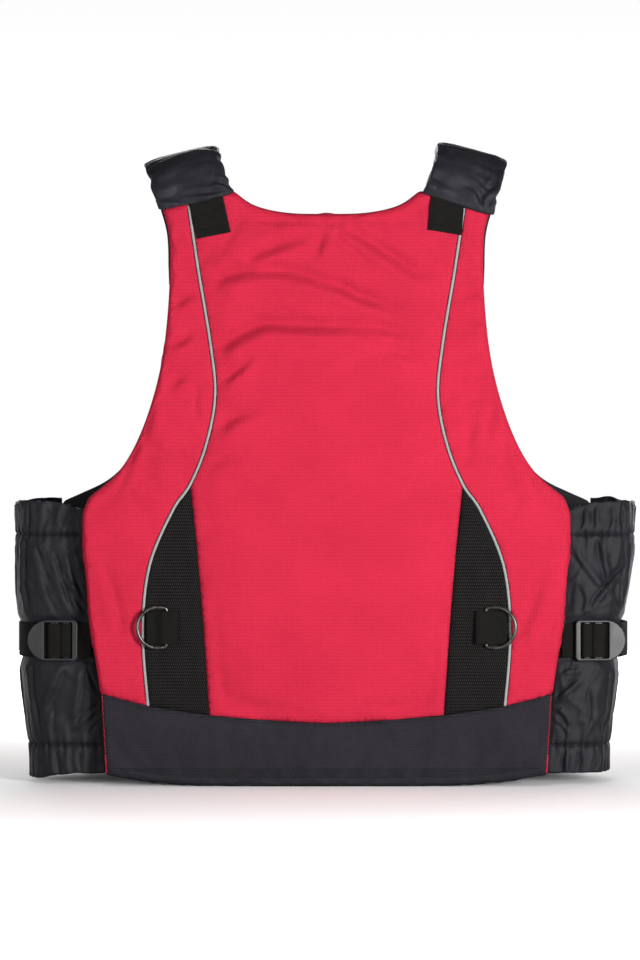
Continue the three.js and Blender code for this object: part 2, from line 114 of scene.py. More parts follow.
# ---------------------------------------------------------------- materials
class Look:
    """A Principled material with a few helpers for patterns in millimetres of cloth."""

    def __init__(self, name, rough=0.7, metal=0.0, sheen=0.0, spec=0.5, ior=1.45):
        self.material = bpy.data.materials.new(name)
        self.material.use_nodes = True
        self.tree = self.material.node_tree
        self.shader = self.tree.nodes["Principled BSDF"]
        self.set("Roughness", rough)
        self.set("Metallic", metal)
        self.set("Sheen Weight", sheen)
        self.set("Sheen Roughness", 0.4)
        self.set("Specular IOR Level", spec)
        self.set("IOR", ior)
        self._uv = None
        self._object = None

    def set(self, socket, value):
        self.shader.inputs[socket].default_value = value

    def link(self, a, b):
        self.tree.links.new(a, b)

    def math(self, operation, a, b=None, c=None):
        node = self.tree.nodes.new("ShaderNodeMath")
        node.operation = operation
        for socket, value in zip(node.inputs, (a, b, c)):
            if value is None:
                continue
            if isinstance(value, (int, float)):
                socket.default_value = value
            else:
                self.link(value, socket)
        return node.outputs[0]

    def times(self, a, b):
        return self.math("MULTIPLY", a, b)

    def plus(self, a, b):
        return self.math("ADD", a, b)

    def uv(self):
        """Cloth coordinates in mm, from the mesh's own map."""
        if self._uv is None:
            node = self.tree.nodes.new("ShaderNodeUVMap")
            node.uv_map = "weave"
            split = self.tree.nodes.new("ShaderNodeSeparateXYZ")
            self.link(node.outputs[0], split.inputs[0])
            self._uv = [self.times(split.outputs[i], 1000.0) for i in (0, 1)]
        return self._uv

    def point(self):
        if self._object is None:
            self._object = self.tree.nodes.new("ShaderNodeTexCoord").outputs["Object"]
        return self._object

    def noise(self, scale, detail=3.0, stretch=(1, 1, 1), rough=0.5):
        """Noise in the object's own space; scale is in cells per metre."""
        node = self.tree.nodes.new("ShaderNodeTexNoise")
        node.inputs["Scale"].default_value = scale
        node.inputs["Detail"].default_value = detail
        node.inputs["Roughness"].default_value = rough
        mapping = self.tree.nodes.new("ShaderNodeMapping")
        mapping.inputs["Scale"].default_value = stretch
        self.link(self.point(), mapping.inputs["Vector"])
        self.link(mapping.outputs[0], node.inputs["Vector"])
        return node.outputs["Fac"]

    def wave(self, coordinate, pitch):
        return self.math("SINE", self.times(coordinate, 2 * math.pi / pitch))

    def unit(self, value, low, high):
        node = self.tree.nodes.new("ShaderNodeMapRange")
        node.inputs["From Min"].default_value = low
        node.inputs["From Max"].default_value = high
        self.link(value, node.inputs["Value"])
        return node.outputs[0]

    def colour(self, dark, light, factor):
        node = self.tree.nodes.new("ShaderNodeMix")
        node.data_type = "RGBA"
        node.inputs[6].default_value = (*dark, 1)
        node.inputs[7].default_value = (*light, 1)
        self.link(factor, node.inputs[0])
        self.link(node.outputs[2], self.shader.inputs["Base Color"])

    def rough_between(self, low, high, factor):
        node = self.tree.nodes.new("ShaderNodeMapRange")
        node.inputs["To Min"].default_value = low
        node.inputs["To Max"].default_value = high
        self.link(factor, node.inputs["Value"])
        self.link(node.outputs[0], self.shader.inputs["Roughness"])

    def bumps(self, *layers):
        """Each layer is a height from 0 to 1 and its depth in mm."""
        normal = None
        for height, depth in layers:
            node = self.tree.nodes.new("ShaderNodeBump")
            node.inputs["Strength"].default_value = 1.0
            node.inputs["Distance"].default_value = depth * MM
            self.link(height, node.inputs["Height"])
            if normal is not None:
                self.link(normal, node.inputs["Normal"])
            normal = node.outputs[0]
        self.link(normal, self.shader.inputs["Normal"])


def ripstop(name, dark, light, rough, sheen=0.0, grid=2.6, crinkle=0.35, line=0.12):
    """Plain-woven nylon with a ripstop grid and faint creases."""
    look = Look(name, rough=rough, sheen=sheen, ior=1.03)
    u, v = look.uv()
    weave = look.times(look.wave(u, 0.42), look.wave(v, 0.42))
    rows = look.unit(look.wave(v, grid), 0.1, 1.0)
    posts = look.unit(look.wave(u, grid), 0.3, 1.0)
    lines = look.math("MAXIMUM", rows, look.times(posts, 0.8))
    patches = look.noise(26, 4)
    fine = look.noise(420, 2)
    tone = look.plus(look.times(patches, 0.5), look.times(fine, 0.34))
    tone = look.math("SUBTRACT", tone, look.times(lines, line))
    tone = look.plus(tone, look.times(weave, 0.05))
    look.colour(dark, light, look.unit(tone, 0.1, 0.72))
    look.rough_between(rough - 0.06, rough + 0.1, patches)
    creases = look.noise(95, 3, (1, 1, 0.45), 0.55)
    look.bumps((creases, crinkle * 1.6), (lines, 0.14), (weave, 0.03))
    return look.material


def crinkled(name, dark, light, rough):
    """Light shiny nylon with crushed creases."""
    look = Look(name, rough=rough, sheen=0.0, ior=1.17)
    u, v = look.uv()
    weave = look.times(look.wave(u, 0.38), look.wave(v, 0.38))
    broad = look.noise(48, 4, (1, 1, 0.55), 0.6)
    sharp = look.math("ABSOLUTE", look.math("SUBTRACT", look.noise(34, 2, (1, 1, 0.5)), 0.5))
    look.colour(dark, light, look.unit(broad, 0.25, 0.8))
    look.rough_between(rough - 0.08, rough + 0.12, look.noise(150, 3))
    look.bumps((broad, 0.8), (look.unit(sharp, 0.0, 0.12), 0.35), (weave, 0.02))
    return look.material


def knit(name, dark, light):
    """Coarse warp-knitted mesh: wavy rows of loops with dark gaps."""
    look = Look(name, rough=0.85, ior=1.12)
    u, v = look.uv()
    rows = look.wave(v, 2.5)
    columns = look.wave(look.plus(u, look.times(look.wave(v, 5.0), 0.42)), 1.55)
    loops = look.unit(look.plus(look.times(rows, 0.6), columns), -0.3, 1.5)
    patches = look.noise(60, 3)
    tone = look.plus(look.times(loops, 0.95), look.times(patches, 0.12))
    look.colour(dark, light, tone)
    look.bumps((patches, 0.5), (loops, 0.45))
    return look.material


def woven_band(name, dark, light, rib=1.15, rough=0.8):
    """Webbing: cross ribs broken into a twill by lengthwise cords. u runs along the strap."""
    look = Look(name, rough=rough, ior=1.12)
    u, v = look.uv()
    cords = look.wave(v, 1.9)
    ribs = look.wave(look.plus(u, look.times(cords, 0.22)), rib)
    pattern = look.unit(look.plus(ribs, look.times(cords, 0.6)), -1.6, 1.6)
    wear = look.noise(180, 4)
    tone = look.plus(look.times(pattern, 0.6), look.times(wear, 0.5))
    look.colour(dark, light, tone)
    look.bumps((wear, 0.12), (pattern, 0.22))
    return look.material


def thread(name, dark, light):
    look = Look(name, rough=0.6, ior=1.15)
    twist = look.noise(2600, 2, (1, 1, 2.5))
    look.colour(dark, light, twist)
    look.bumps((twist, 0.08))
    return look.material


def moulded(name, dark, light, rough):
    """Acetal or nylon moulding: satin with a faint grain and scuffs."""
    look = Look(name, rough=rough, ior=1.3)
    grain = look.noise(1800, 3)
    scuffs = look.noise(120, 5, rough=0.7)
    look.colour(dark, light, look.unit(scuffs, 0.35, 0.75))
    look.rough_between(rough - 0.05, rough + 0.16, scuffs)
    look.bumps((grain, 0.03))
    return look.material


def coated_metal(name, dark, light, rough):
    look = Look(name, rough=rough, metal=0.85)
    drawn = look.noise(300, 4, (1, 1, 0.2))
    look.colour(dark, light, look.unit(drawn, 0.3, 0.75))
    look.rough_between(rough - 0.05, rough + 0.15, drawn)
    look.bumps((drawn, 0.03))
    return look.material


def closed_foam(name):
    look = Look(name, rough=0.9, spec=0.2)
    cells = look.noise(900, 2)
    look.colour((0.25, 0.245, 0.225), (0.36, 0.355, 0.33), cells)
    look.bumps((cells, 0.25))
    return look.material


RED = ripstop("red_ripstop", (0.228, 0.0094, 0.0226), (0.301, 0.0133, 0.0318), 0.66, line=0.26)
NAVY = ripstop("navy_band_nylon", (0.0092, 0.0086, 0.0105), (0.0173, 0.0164, 0.0200), 0.55,
               grid=2.35, crinkle=0.3, line=0.2)
SHINY = crinkled("navy_shiny_nylon", (0.0039, 0.0038, 0.0050), (0.0079, 0.0077, 0.0100), 0.43)
# The sleeves use the same crinkled nylon as SHINY with its colour painted about half again lighter: painted
# light, standing in for the lamp light that the sleeves get less of.
SHINY_PAINTED_LIGHTER = crinkled("navy_shiny_nylon_painted_lighter", (0.0057, 0.0056, 0.0074), (0.0117, 0.0114, 0.0148), 0.46)
MESH = knit("black_knit_mesh", (0.0005, 0.0005, 0.0005), (0.017, 0.0155, 0.0150))
LINING = ripstop("dark_lining", (0.009, 0.0085, 0.0092), (0.018, 0.017, 0.0185), 0.8,
                 sheen=0.01, grid=2.35, crinkle=0.4, line=0.1)
WEBBING = woven_band("black_webbing", (0.0011, 0.0011, 0.0010), (0.0064, 0.0060, 0.0055))
TAPE = woven_band("zip_tape_weave", (0.0025, 0.0025, 0.003), (0.010, 0.010, 0.0105), 0.8)
ELASTIC = woven_band("elastic_weave", (0.003, 0.003, 0.0035), (0.011, 0.011, 0.012), 1.4)
REFLECT = woven_band("reflective_piping", (0.13, 0.14, 0.137), (0.21, 0.222, 0.217), 0.6, 0.4)
RED_THREAD = thread("red_thread", (0.22, 0.004, 0.012), (0.36, 0.008, 0.022))
DARK_THREAD = thread("dark_thread", (0.002, 0.002, 0.0022), (0.006, 0.006, 0.0065))
PLASTIC = moulded("buckle_moulding", (0.0046, 0.0046, 0.0045), (0.0086, 0.0086, 0.0083), 0.36)
TEETH = moulded("zip_teeth_moulding", (0.005, 0.005, 0.005), (0.010, 0.010, 0.010), 0.42)
METAL = coated_metal("gunmetal", (0.022, 0.021, 0.019), (0.06, 0.057, 0.052), 0.24)
FOAM = closed_foam("closed_cell_foam")


def pale_floor():
    look = Look("pale_floor", rough=0.9, spec=0.1)
    look.colour((0.84, 0.84, 0.84), (0.88, 0.88, 0.88), look.noise(3, 2))
    mesh = bpy.data.meshes.new("floor")
    radius, sides = 2.2, 64
    angles = np.linspace(0, 2 * math.pi, sides, endpoint=False)
    ring = [(radius * math.cos(a), radius * math.sin(a), 0) for a in angles]
    mesh.from_pydata(ring, [], [tuple(range(sides))])
    mesh.materials.append(look.material)
    floor = bpy.data.objects.new("floor", mesh)
    bpy.context.scene.collection.objects.link(floor)


pale_floor()


# ---------------------------------------------------------------- lines and meshes
def catmull(points, t):
    """A point of the uniform Catmull-Rom curve, t from 0 to 1 over all its control points."""
    p = np.asarray(points, float)
    n = len(p) - 1
    x = min(max(t, 0.0), 1.0) * n
    i = min(int(x), n - 1)
    w = x - i
    a, b, c, d = p[max(i - 1, 0)], p[i], p[i + 1], p[min(i + 2, n)]
    v0, v1 = (c - a) / 2, (d - b) / 2
    return (2 * b - 2 * c + v0 + v1) * w**3 + (-3 * b + 3 * c - 2 * v0 - v1) * w**2 + v0 * w + b


def even(line, step):
    """The same line with points about a step apart."""
    line = np.asarray(line, float)
    lengths = np.r_[0, np.cumsum(np.linalg.norm(np.diff(line, axis=0), axis=1))]
    count = max(2, int(round(lengths[-1] / step)) + 1)
    marks = np.linspace(0, lengths[-1], count)
    return np.stack([np.interp(marks, lengths, line[:, k]) for k in range(line.shape[1])], axis=1)


def curve(points, step):
    return even([catmull(points, t) for t in np.linspace(0, 1, 24 * len(points))], step)


def sideways(line, distance):
    """An open line moved to the left of its travel, in its own plane."""
    line = np.asarray(line, float)
    d = np.gradient(line, axis=0)
    d /= np.linalg.norm(d, axis=1)[:, None]
    return line + distance * np.stack([-d[:, 1], d[:, 0]], axis=1)


def length_of(line):
    return float(np.sum(np.linalg.norm(np.diff(np.array(line, float), axis=0), axis=1)))


def distance_to(points, line, closed=False):
    """How far each 2-D point is from a polyline, with the arc length of its nearest point."""
    line = np.asarray(line, float)
    if closed:
        line = np.vstack([line, line[:1]])
    best = np.full(len(points), 1e9)
    where = np.zeros(len(points))
    start = 0.0
    for a, b in zip(line[:-1], line[1:]):
        d = b - a
        length = np.linalg.norm(d)
        if length < 1e-9:
            continue
        t = np.clip(((points - a) @ d) / length**2, 0, 1)
        away = np.linalg.norm(points - a - t[:, None] * d, axis=1)
        closer = away < best
        best[closer] = away[closer]
        where[closer] = start + t[closer] * length
        start += length
    return best, where


def fold_along(points, line, step, rise, share, delay=0.0):
    """How far points are from a drawn fold, and its strength, which fades in and out along it."""
    cross, run = distance_to(points, curve(line, step))
    length = length_of(line)
    fade = np.clip((run - delay) / rise, 0, 1) * np.clip((length - run) / (share * length), 0, 1)
    return cross, fade


def bell(value, width, power=2):
    return np.exp(-((value / width) ** power))


def nearest(points, others):
    """How far each point is from the nearest of the others."""
    return np.array([np.sqrt(np.min(np.sum((others - p) ** 2, axis=1))) for p in points])


def inward_of(outline, line):
    """Unit vectors into the outline at each point of the line that runs along it."""
    before, after = np.roll(outline, 1, axis=0), np.roll(outline, -1, axis=0)
    area = 0.5 * np.sum(outline[:, 0] * after[:, 1] - after[:, 0] * outline[:, 1])
    if line is not outline:
        before, after = np.roll(line, 1, axis=0), np.roll(line, -1, axis=0)
    along = unit(after - before)
    return np.stack([-along[:, 1], along[:, 0]], axis=1) * np.sign(area)


def girth_of(outline):
    return length_of(np.vstack([outline, outline[:1]]))


def inside(points, outline):
    x, y = points[:, 0], points[:, 1]
    result = np.zeros(len(points), bool)
    a = np.asarray(outline)
    b = np.roll(a, -1, axis=0)
    for (ax, ay), (bx, by) in zip(a, b):
        crosses = (ay > y) != (by > y)
        with np.errstate(divide="ignore", invalid="ignore"):
            result ^= crosses & (x < (bx - ax) * (y - ay) / (by - ay) + ax)
    return result


def ripple(points, size, seed=0.0):
    """Smooth noise from -1 to 1 at 3-D points, with cells of a size."""
    return np.array([noise.noise(Vector((p[0] / size, p[1] / size, p[2] / size + seed))) for p in points])


def mesh_object(name, verts, faces, material, uv=None, smooth=True):
    mesh = bpy.data.meshes.new(name)
    mesh.from_pydata((np.asarray(verts) * MM).tolist(), [], [tuple(map(int, f)) for f in faces])
    mesh.validate()
    if uv is not None:
        layer = mesh.uv_layers.new(name="weave")
        loops = np.empty(len(mesh.loops), int)
        mesh.loops.foreach_get("vertex_index", loops)
        layer.data.foreach_set("uv", (np.asarray(uv)[loops] * MM).astype(np.float32).ravel())
    mesh.materials.append(material)
    if smooth:
        mesh.polygons.foreach_set("use_smooth", [True] * len(mesh.polygons))
    piece = bpy.data.objects.new(name, mesh)
    scene.collection.objects.link(piece)
    return piece


def coords_of(piece):
    return np.array([v.co[:] for v in piece.data.vertices]) / MM


def normals_of(piece):
    return np.array([v.normal[:] for v in piece.data.vertices])


def move_to(piece, coords):
    piece.data.vertices.foreach_set("co", (coords * MM).astype(np.float32).ravel())
    piece.data.update()


def face_outward(piece):
    mesh = bmesh.new()
    mesh.from_mesh(piece.data)
    bmesh.ops.recalc_face_normals(mesh, faces=mesh.faces)
    mesh.to_mesh(piece.data)
    mesh.free()


def with_modifier(piece, kind, **values):
    modifier = piece.modifiers.new(kind.lower(), kind)
    for key, value in values.items():
        setattr(modifier, key, value)
    return modifier


def apply_modifiers(piece):
    depsgraph = bpy.context.evaluated_depsgraph_get()
    made = bpy.data.meshes.new_from_object(piece.evaluated_get(depsgraph))
    old = piece.data
    piece.modifiers.clear()
    piece.data = made
    bpy.data.meshes.remove(old)


def strip_faces(rows, columns, close_rows=False, close_columns=False):
    faces = []
    for i in range(rows if close_rows else rows - 1):
        for j in range(columns if close_columns else columns - 1):
            a, b = i * columns + j, i * columns + (j + 1) % columns
            c, d = ((i + 1) % rows) * columns + (j + 1) % columns, ((i + 1) % rows) * columns + j
            faces.append((a, b, c, d))
    return faces


def unit(vectors):
    return vectors / np.linalg.norm(vectors, axis=-1, keepdims=True)


def sweep(name, centres, across, normals, section, material, closed=False):
    """A section of (across, rise) points carried along a line. UVs run along and round it."""
    centres, across, normals = map(np.asarray, (centres, across, normals))
    rows, columns = len(centres), len(section)
    sec = np.asarray(section, float)
    verts = (
        centres[:, None, :]
        + sec[None, :, 0, None] * across[:, None, :]
        + sec[None, :, 1, None] * normals[:, None, :]
    ).reshape(-1, 3)
    faces = strip_faces(rows, columns, close_rows=closed, close_columns=True)
    if not closed:
        faces.append(tuple(range(columns - 1, -1, -1)))
        faces.append(tuple(range((rows - 1) * columns, rows * columns)))
    along = np.r_[0, np.cumsum(np.linalg.norm(np.diff(centres, axis=0), axis=1))]
    around = np.r_[0, np.cumsum(np.linalg.norm(np.diff(sec, axis=0), axis=1))]
    uv = np.stack(np.meshgrid(along, around, indexing="ij"), axis=-1).reshape(-1, 2)
    piece = mesh_object(name, verts, faces, material, uv)
    face_outward(piece)
    return piece


def strap_section(width, thickness):
    """Flat webbing with rounded selvedges."""
    half, rise = width / 2, thickness / 2
    top = [(x, rise) for x in np.linspace(half - 0.8, -half + 0.8, 9)]
    left = [(-half + 0.2, rise * 0.7), (-half, 0), (-half + 0.2, -rise * 0.7)]
    bottom = [(x, -rise) for x in np.linspace(-half + 0.8, half - 0.8, 9)]
    right = [(half - 0.2, -rise * 0.7), (half, 0), (half - 0.2, rise * 0.7)]
    return top + left + bottom + right


def circle(radius, sides):
    angles = np.linspace(0, 2 * math.pi, sides, endpoint=False)
    return [(radius * math.cos(a), radius * math.sin(a)) for a in angles]


def tube(name, line, radius, material, up=(0, 1, 0), closed=False, sides=12):
    line = np.asarray(line, float)
    if closed:
        tangents = np.roll(line, -1, axis=0) - np.roll(line, 1, axis=0)
    else:
        tangents = np.gradient(line, axis=0)
    tangents = unit(tangents)
    across = unit(np.cross(tangents, np.broadcast_to(up, line.shape)))
    normals = unit(np.cross(across, tangents))
    return sweep(name, line, across, normals, circle(radius, sides), material, closed)


def strap(name, centres, across, material, width=27.0, thickness=1.4):
    """Webbing along a line; across is its width direction."""
    centres = np.asarray(centres, float)
    across = unit(np.broadcast_to(np.asarray(across, float), centres.shape))
    tangents = unit(np.gradient(centres, axis=0))
    normals = unit(np.cross(across, tangents))
    return sweep(name, centres, across, normals, strap_section(width, thickness), material)


def stitch_row(name, line, normals, material, pitch=2.7, length=2.0, radius=0.24, lift=0.1):
    """A row of thread stitches lying on a surface."""
    line = np.asarray(line, float)
    normals = np.asarray(normals, float)
    lengths = np.r_[0, np.cumsum(np.linalg.norm(np.diff(line, axis=0), axis=1))]
    marks = np.arange(pitch / 2, lengths[-1] - length / 2, pitch)
    verts, faces = [], []
    rings = [(-0.5, 0.25), (-0.38, 0.8), (0, 1.0), (0.38, 0.8), (0.5, 0.25)]
    sides = 6
    for mark in marks:
        at = lambda s: np.array([np.interp(s, lengths, line[:, k]) for k in range(3)])
        normal = np.array([np.interp(mark, lengths, normals[:, k]) for k in range(3)])
        normal /= np.linalg.norm(normal)
        a, b = at(mark - length / 2), at(mark + length / 2)
        along = (b - a) / max(np.linalg.norm(b - a), 1e-9)
        side = np.cross(normal, along)
        base = len(verts)
        for t, swell in rings:
            middle_point = (a + b) / 2 + along * t * length + normal * (lift * swell)
            for k in range(sides):
                angle = 2 * math.pi * k / sides
                offset = side * math.cos(angle) * radius * swell * 1.15
                verts.append(middle_point + offset + normal * math.sin(angle) * radius * swell)
        for r in range(len(rings) - 1):
            for k in range(sides):
                p, q = base + r * sides + k, base + r * sides + (k + 1) % sides
                faces.append((p, q, q + sides, p + sides))
        faces.append(tuple(base + k for k in range(sides - 1, -1, -1)))
        faces.append(tuple(base + (len(rings) - 1) * sides + k for k in range(sides)))
    piece = mesh_object(name, verts, faces, material)
    face_outward(piece)
    return piece


# ---------------------------------------------------------------- placing pieces
def place(piece, body, slot, *nodes):
    if body:
        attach(piece, body)
    if nodes:
        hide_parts(*nodes)
    return piece


def tack(name, line, facing, body, pitch, length, radius):
    """Dark stitches on webbing whose face points along Y."""
    normals = np.tile([0, facing, 0], (len(line), 1))
    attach(stitch_row(name, line, normals, DARK_THREAD, pitch, length, radius, 0), body)


def merged(name, parts, material, place_point=None, crisp=True):
    """One object from several (vertices, faces) parts, its flats kept flat beside rounded edges."""
    verts, faces = [], []
    for part_verts, part_faces in parts:
        base = len(verts)
        verts += [list(v) for v in part_verts]
        faces += [tuple(base + i for i in face) for face in part_faces]
    if place_point is not None:
        verts = [place_point(*v) for v in verts]
    piece = mesh_object(name, verts, faces, material)
    face_outward(piece)
    if crisp:
        with_modifier(piece, "WEIGHTED_NORMAL", weight=60, keep_sharp=False)
        apply_modifiers(piece)
    return piece


def rounded_plate(outlines, thickness, bevel):
    """A flat plate in (a, b, c) with rounded edges; outlines after the first are holes."""
    data = bpy.data.curves.new("plate", "CURVE")
    data.dimensions = "2D"
    data.fill_mode = "BOTH"
    data.extrude = thickness / 2 - bevel
    data.bevel_depth = bevel
    data.bevel_resolution = 2
    data.offset = -bevel
    for outline in outlines:
        line = data.splines.new("POLY")
        line.points.add(len(outline) - 1)
        for point, (a, b) in zip(line.points, outline):
            point.co = (a, b, 0, 1)
        line.use_cyclic_u = True
    holder = bpy.data.objects.new("plate", data)
    scene.collection.objects.link(holder)
    depsgraph = bpy.context.evaluated_depsgraph_get()
    made = bpy.data.meshes.new_from_object(holder.evaluated_get(depsgraph))
    work = bmesh.new()
    work.from_mesh(made)
    bmesh.ops.remove_doubles(work, verts=work.verts, dist=1e-3)
    work.to_mesh(made)
    work.free()
    part = ([tuple(v.co) for v in made.vertices], [tuple(f.vertices) for f in made.polygons])
    bpy.data.objects.remove(holder)
    bpy.data.curves.remove(data)
    bpy.data.meshes.remove(made)
    return part


def block(x0, x1, y0, y1, z0, z1, bevel=0.6, segments=3):
    work = bmesh.new()
    bmesh.ops.create_cube(work, size=1)
    for v in work.verts:
        v.co = (
            x0 + (v.co.x + 0.5) * (x1 - x0),
            y0 + (v.co.y + 0.5) * (y1 - y0),
            z0 + (v.co.z + 0.5) * (z1 - z0),
        )
    bmesh.ops.bevel(
        work, geom=list(work.edges), offset=bevel, segments=segments, profile=0.5, affect="EDGES"
    )
    work.verts.index_update()
    part = ([tuple(v.co) for v in work.verts], [tuple(v.index for v in f.verts) for f in work.faces])
    work.free()
    return part


def side_block(side, x0, x1, *rest):
    """A block between two distances from the middle, on one side."""
    low, high = sorted((side * x0, side * x1))
    return block(low, high, *rest)


def moved_part(part, place_point):
    return [place_point(*v) for v in part[0]], part[1]


# ---------------------------------------------------------------- sewn foam panels
BACK_Y, FRONT_Y, DEPTH = -85.0, 80.0, 30.0
STEP = 5.2
# the pieces of cloth that a panel's skin is cut into
CENTRE, BAND_CLOTH, RIGHT_CLOTH, LEFT_CLOTH, RIGHT_MESH, LEFT_MESH = range(6)
GUSSET, LINING_CLOTH = 8, 9


def link_up(*parts):
    """Polylines end to end, shared ends once."""
    whole = [np.asarray(parts[0], float)]
    for part in parts[1:]:
        part = np.asarray(part, float)
        whole.append(part[1:] if np.linalg.norm(part[0] - whole[-1][-1]) < 1e-6 else part)
    return np.vstack(whole)


def both_sides(half):
    other = half[1:-1][::-1] * [-1, 1]
    return np.vstack([half, other])


def triangulate(outline, seams, rings):
    """A planar mesh inside an outline, with its seams as edges."""
    points, edges = [outline], [(i, (i + 1) % len(outline)) for i in range(len(outline))]
    count = len(outline)
    for seam in seams:
        points.append(seam)
        edges += [(count + i, count + i + 1) for i in range(len(seam) - 1)]
        count += len(seam)
    all_seams = np.vstack([even(s, 1.0) for s in seams])

    def clear_of_seams(candidates, gap):
        return nearest(candidates, all_seams) > gap

    inward = inward_of(outline, outline)
    for depth in rings:
        ring = outline + inward * depth
        away, _ = distance_to(ring, outline, True)
        ring = ring[(away > 0.93 * depth) & inside(ring, outline)]
        points.append(ring[clear_of_seams(ring, 1.4)])
    low, high = outline.min(axis=0), outline.max(axis=0)
    rows = np.arange(low[1], high[1], STEP * 0.866)
    grid = []
    for k, z in enumerate(rows):
        for x in np.arange(-STEP * 60 + (k % 2) * STEP / 2, STEP * 60, STEP):
            if low[0] < x < high[0]:
                grid.append((x, z))
    grid = np.array(grid)
    grid = grid[inside(grid, outline)]
    away, _ = distance_to(grid, outline, True)
    grid = grid[away > rings[-1] + 0.5 * STEP]
    points.append(grid[clear_of_seams(grid, 0.55 * STEP)])
    flat = np.vstack(points)
    made = delaunay_2d_cdt([Vector(p) for p in flat], edges, [], 1, 1e-3)
    verts = np.array([tuple(v) for v in made[0]])
    faces = [tuple(f) for f in made[2]]
    home = {}
    for new, olds in enumerate(made[3]):
        for old in olds:
            home[old] = new
    loop = [home[i] for i in range(len(outline))]
    return verts, faces, loop


def inflate(piece, held, pressure, slack, cap, frames=20, bending=0.4):
    """Cloth under pressure: how far each point moves, in mm, never more than cap."""
    rest = np.array([v.co[:] for v in piece.data.vertices])
    group = piece.vertex_groups.new(name="held")
    group.add([int(i) for i in held], 1.0, "REPLACE")
    cloth = piece.modifiers.new("cloth", "CLOTH")
    settings = cloth.settings
    settings.quality = 4
    settings.mass = 0.3
    settings.vertex_group_mass = "held"
    settings.tension_stiffness = settings.compression_stiffness = 15
    settings.shear_stiffness = 6
    settings.bending_stiffness = bending
    settings.use_pressure = True
    settings.uniform_pressure_force = pressure
    settings.shrink_min = slack
    settings.effector_weights.gravity = 0
    cloth.point_cache.frame_start, cloth.point_cache.frame_end = 1, frames
    for frame_number in range(1, frames + 1):
        scene.frame_set(frame_number)
    depsgraph = bpy.context.evaluated_depsgraph_get()
    shape = piece.evaluated_get(depsgraph).to_mesh()
    now = np.array([v.co[:] for v in shape.vertices])
    piece.evaluated_get(depsgraph).to_mesh_clear()
    piece.modifiers.remove(cloth)
    piece.vertex_groups.clear()
    scene.frame_set(1)
    moved = (now - rest) / MM
    size = np.linalg.norm(moved, axis=1)
    limit = cap * np.tanh(size / cap) / np.maximum(size, 1e-9)
    return moved * limit[:, None]


def split_piece(source, label, name, material, uv, thickness=0.8, extra=None):
    """The faces with one label as their own piece of cloth, given a thickness inwards."""
    coords = coords_of(source)
    chosen = [f for f in source.data.polygons if f.material_index == label]
    used = sorted({i for f in chosen for i in f.vertices})
    index = {old: new for new, old in enumerate(used)}
    faces = [tuple(index[i] for i in f.vertices) for f in chosen]
    used = np.array(used)
    piece = mesh_object(name, coords[used], faces, material, uv[used])
    if extra is not None:
        other, test = extra
        piece.data.materials.append(other)
        centres = np.array([f.center[:] for f in piece.data.polygons]) / MM
        piece.data.polygons.foreach_set("material_index", test(centres).astype(int))
    area = sum(f.area for f in piece.data.polygons)
    with_modifier(piece, "SOLIDIFY", thickness=thickness * MM, offset=-1)
    apply_modifiers(piece)
    return piece, area


